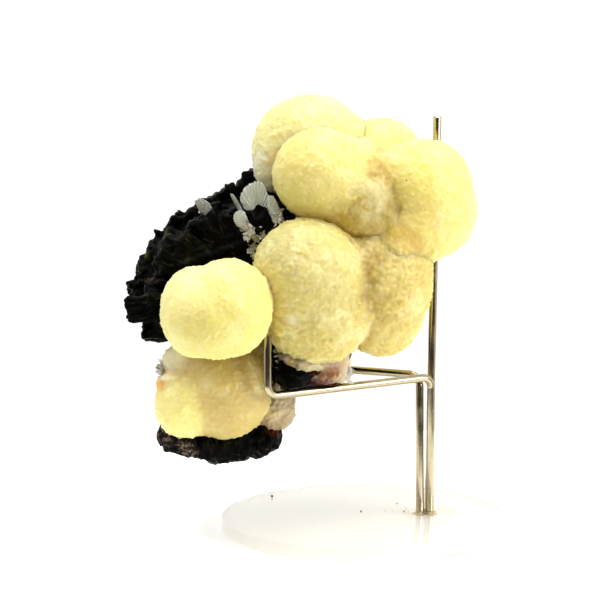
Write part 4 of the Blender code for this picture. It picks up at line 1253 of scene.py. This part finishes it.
def grain_points(middle, size, chance):
    """An irregular eight-sided grain."""
    corners = ((1, 0, 0), (-1, 0, 0), (0, 1, 0), (0, -1, 0), (0, 0, 1), (0, 0, -1))
    points = [tuple(middle[axis] + corner[axis] * size / 2.0 * chance.uniform(*GRAIN_CORNERS)
                    for axis in range(3)) for corner in corners]
    return points, [(a, b, c) for a in (0, 1) for b in (2, 3) for c in (4, 5)]


def grains_piece(name, places, material):
    """Many grains in one mesh, from their middles and sizes."""
    chance = random.Random(name)
    points, faces = [], []
    for middle, size in places:
        more_points, more_faces = grain_points(middle, size, chance)
        faces += [tuple(len(points) + index for index in face) for face in more_faces]
        points += more_points
    piece = piece_from(name, points, faces, material)
    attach(piece, "root")
    return piece


# Epidote and rust as loose sand: dull, olive to brown
grain_material = mottled_material("loose_epidote_grains", 0.9, 2.0, ("1C1A10", "5A4A28"), (0.5, 0.8),
                                  IOR=1.74, Specular_IOR_Level=0.2)
# Stilbite dust on the disc: yellowish, matt
dust_material = mottled_material("stilbite_dust", 1.5, 2.0, ("B99A50", "F0E2A8"), (0.6, 0.9), IOR=1.5)
# Clear glue that has yellowed a little, in a low fillet round each rod
glue = mottled_material("yellowed_glue", 0.8, 2.0, ("F2DFA8", "FBF2D0"), (0.1, 0.3), IOR=1.5,
                        Transmission_Weight=0.8)

surfaces = [BVHTree.FromPolygons([point.co / MM for point in piece.data.vertices],
                                 [tuple(face.vertices) for face in piece.data.polygons])
            for piece in ball_pieces]
chance = random.Random("grains")
grain_rows = []
for grain_place in GRAIN_PLACES:
    hits = [surface.find_nearest(Vector(grain_place)) for surface in surfaces]
    nearest = min(hits, key=lambda hit: hit[3])
    grain_rows.append((nearest[0], chance.uniform(*GRAIN_SIZE)))
for _ in range(LOOSE_GRAINS):
    piece = chance.choice(ball_pieces)
    point = piece.data.vertices[chance.randrange(len(piece.data.vertices))]
    grain_rows.append((point.co / MM, chance.uniform(*LOOSE_GRAIN_SIZE)))
grains_piece("dark_grains", grain_rows, grain_material)
grains_piece("disc_crumbs", [((x, y, DISC_THICKNESS + size * CRUMB_LIFT), size) for x, y, size in CRUMBS],
             grain_material)
dust_rows = []
for _ in range(DUST_CRUMBS):
    size = chance.uniform(*DUST_SIZE)
    dust_rows.append(((*(DUST_MIDDLE[axis] + chance.gauss(0.0, DUST_SPREAD[axis]) for axis in range(2)),
                       DISC_THICKNESS + size * CRUMB_LIFT), size))
grains_piece("disc_dust", dust_rows, dust_material)
glue_profile = [(radius, DISC_THICKNESS + height) for radius, height in GLUE_PROFILE]
for index, centre in enumerate((NEAR_LEG, FAR_LEG, BACK_FOOT)):
    fillet = piece_from(f"glue_fillet_{index}", *turned_shape(glue_profile, 40, centre), glue, 40.0)
    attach(fillet, "root")


# The floor, the light and the camera
# A white table top under a white studio, darker only on the photographer's side, where the
# photographer and the camera stand. Soft lamps overhead and at both sides give the shading.

TABLE_RADIUS = 130.0
TABLE_TOP = 0.01
TABLE_UNDERSIDE = -3.0
STUDIO_WHITE = (1.0, 0.995, 0.98, 1.0)
STUDIO_SHADE = (1.0, 0.8, 0.58, 1.0)
LAMPS = {                   # place and size in metres, and power in watts
    "overhead_lamp": ((0.05, -0.1, 0.8), 0.6, 5.1),
    "upper_left_lamp": ((-0.55, -0.5, 0.5), 0.4, 2.0),
    "upper_right_lamp": ((0.65, -0.35, 0.22), 0.4, 4.0),
}
LAMP_AIM = Vector((0.0, 0.0, 0.06))
PITCH = 8.0
LENS = 144.0
SENSOR = 36.0
DISTANCE = 0.6
TARGET = Vector((-0.016, 0.0, 0.0583))

# Matt white laminate, with a little light of its own, because the photograph is overexposed there
white_table, tree, shader = new_material("white_table", Roughness=0.6, Emission_Strength=0.22)
marks = add_node(tree, "TexNoise", {"Vector": object_place(tree), "Scale": 0.05})
fill_inputs(tree, shader, {
    "Base Color": add_node(tree, "Mix", (marks, linear("F9F8F5"), linear("FCFCFA")), data_type="RGBA")})
table_profile = [(0.0, TABLE_UNDERSIDE), (TABLE_RADIUS, TABLE_UNDERSIDE), (TABLE_RADIUS, TABLE_TOP),
                 (0.0, TABLE_TOP)]
floor = piece_from("table_top", *turned_shape(table_profile, 96), white_table)

studio = bpy.data.worlds.new("white_studio")
studio.use_nodes = True
tree = studio.node_tree
tree.nodes.clear()
direction = add_node(tree, "TexCoord").outputs["Generated"]
towards_front = add_node(tree, "VectorMath", (direction, (0.0, -1.0, 0.0)), operation="DOT_PRODUCT")
dim_side = add_node(tree, "MapRange", (towards_front, -0.2, 0.85, 1.0, 0.48),
                    interpolation_type="SMOOTHSTEP")
in_front = add_node(tree, "MapRange", (towards_front, 0.0, 0.7), interpolation_type="SMOOTHSTEP")
level = add_node(tree, "SeparateXYZ", (direction,)).outputs["Z"]
height = add_node(tree, "Math", (level,), operation="ABSOLUTE")
near_level = add_node(tree, "MapRange", (height, 0.18, 0.5, 0.88, 0.0), interpolation_type="SMOOTHSTEP")
opening = add_node(tree, "Math", (in_front, near_level), operation="MULTIPLY")
closed = add_node(tree, "Math", (1.0, opening), operation="SUBTRACT")
brightness = add_node(tree, "Math", (dim_side, closed), operation="MULTIPLY")
seen = add_node(tree, "LightPath").outputs["Is Camera Ray"]
strength = add_node(tree, "Mix", (seen, brightness, 1.1), data_type="FLOAT")
shade = add_node(tree, "Mix", (opening, STUDIO_WHITE, STUDIO_SHADE), data_type="RGBA")
tint = add_node(tree, "Mix", (seen, shade, STUDIO_WHITE), data_type="RGBA")
light = add_node(tree, "Background", {"Color": tint, "Strength": strength})
add_node(tree, "OutputWorld", {"Surface": light})
bpy.context.scene.world = studio

for name, (place, size, power) in LAMPS.items():
    lamp = bpy.data.lights.new(name, "AREA")
    lamp.shape = "SQUARE"
    lamp.size = size
    lamp.energy = power
    holder = bpy.data.objects.new(name, lamp)
    holder.location = place
    holder.rotation_euler = (LAMP_AIM - Vector(place)).to_track_quat("-Z", "Y").to_euler()
    bpy.context.scene.collection.objects.link(holder)

camera_data = bpy.data.cameras.new("camera")
camera_data.sensor_width = SENSOR
camera_data.lens = LENS
camera_data.clip_start = 0.01
camera = bpy.data.objects.new("camera", camera_data)
view = Vector((0.0, math.cos(math.radians(PITCH)), -math.sin(math.radians(PITCH))))
camera.location = TARGET - view * DISTANCE
camera.rotation_euler = view.to_track_quat("-Z", "Y").to_euler()
bpy.context.scene.collection.objects.link(camera)
bpy.context.scene.camera = camera
bpy.context.scene.view_settings.view_transform = "Standard"
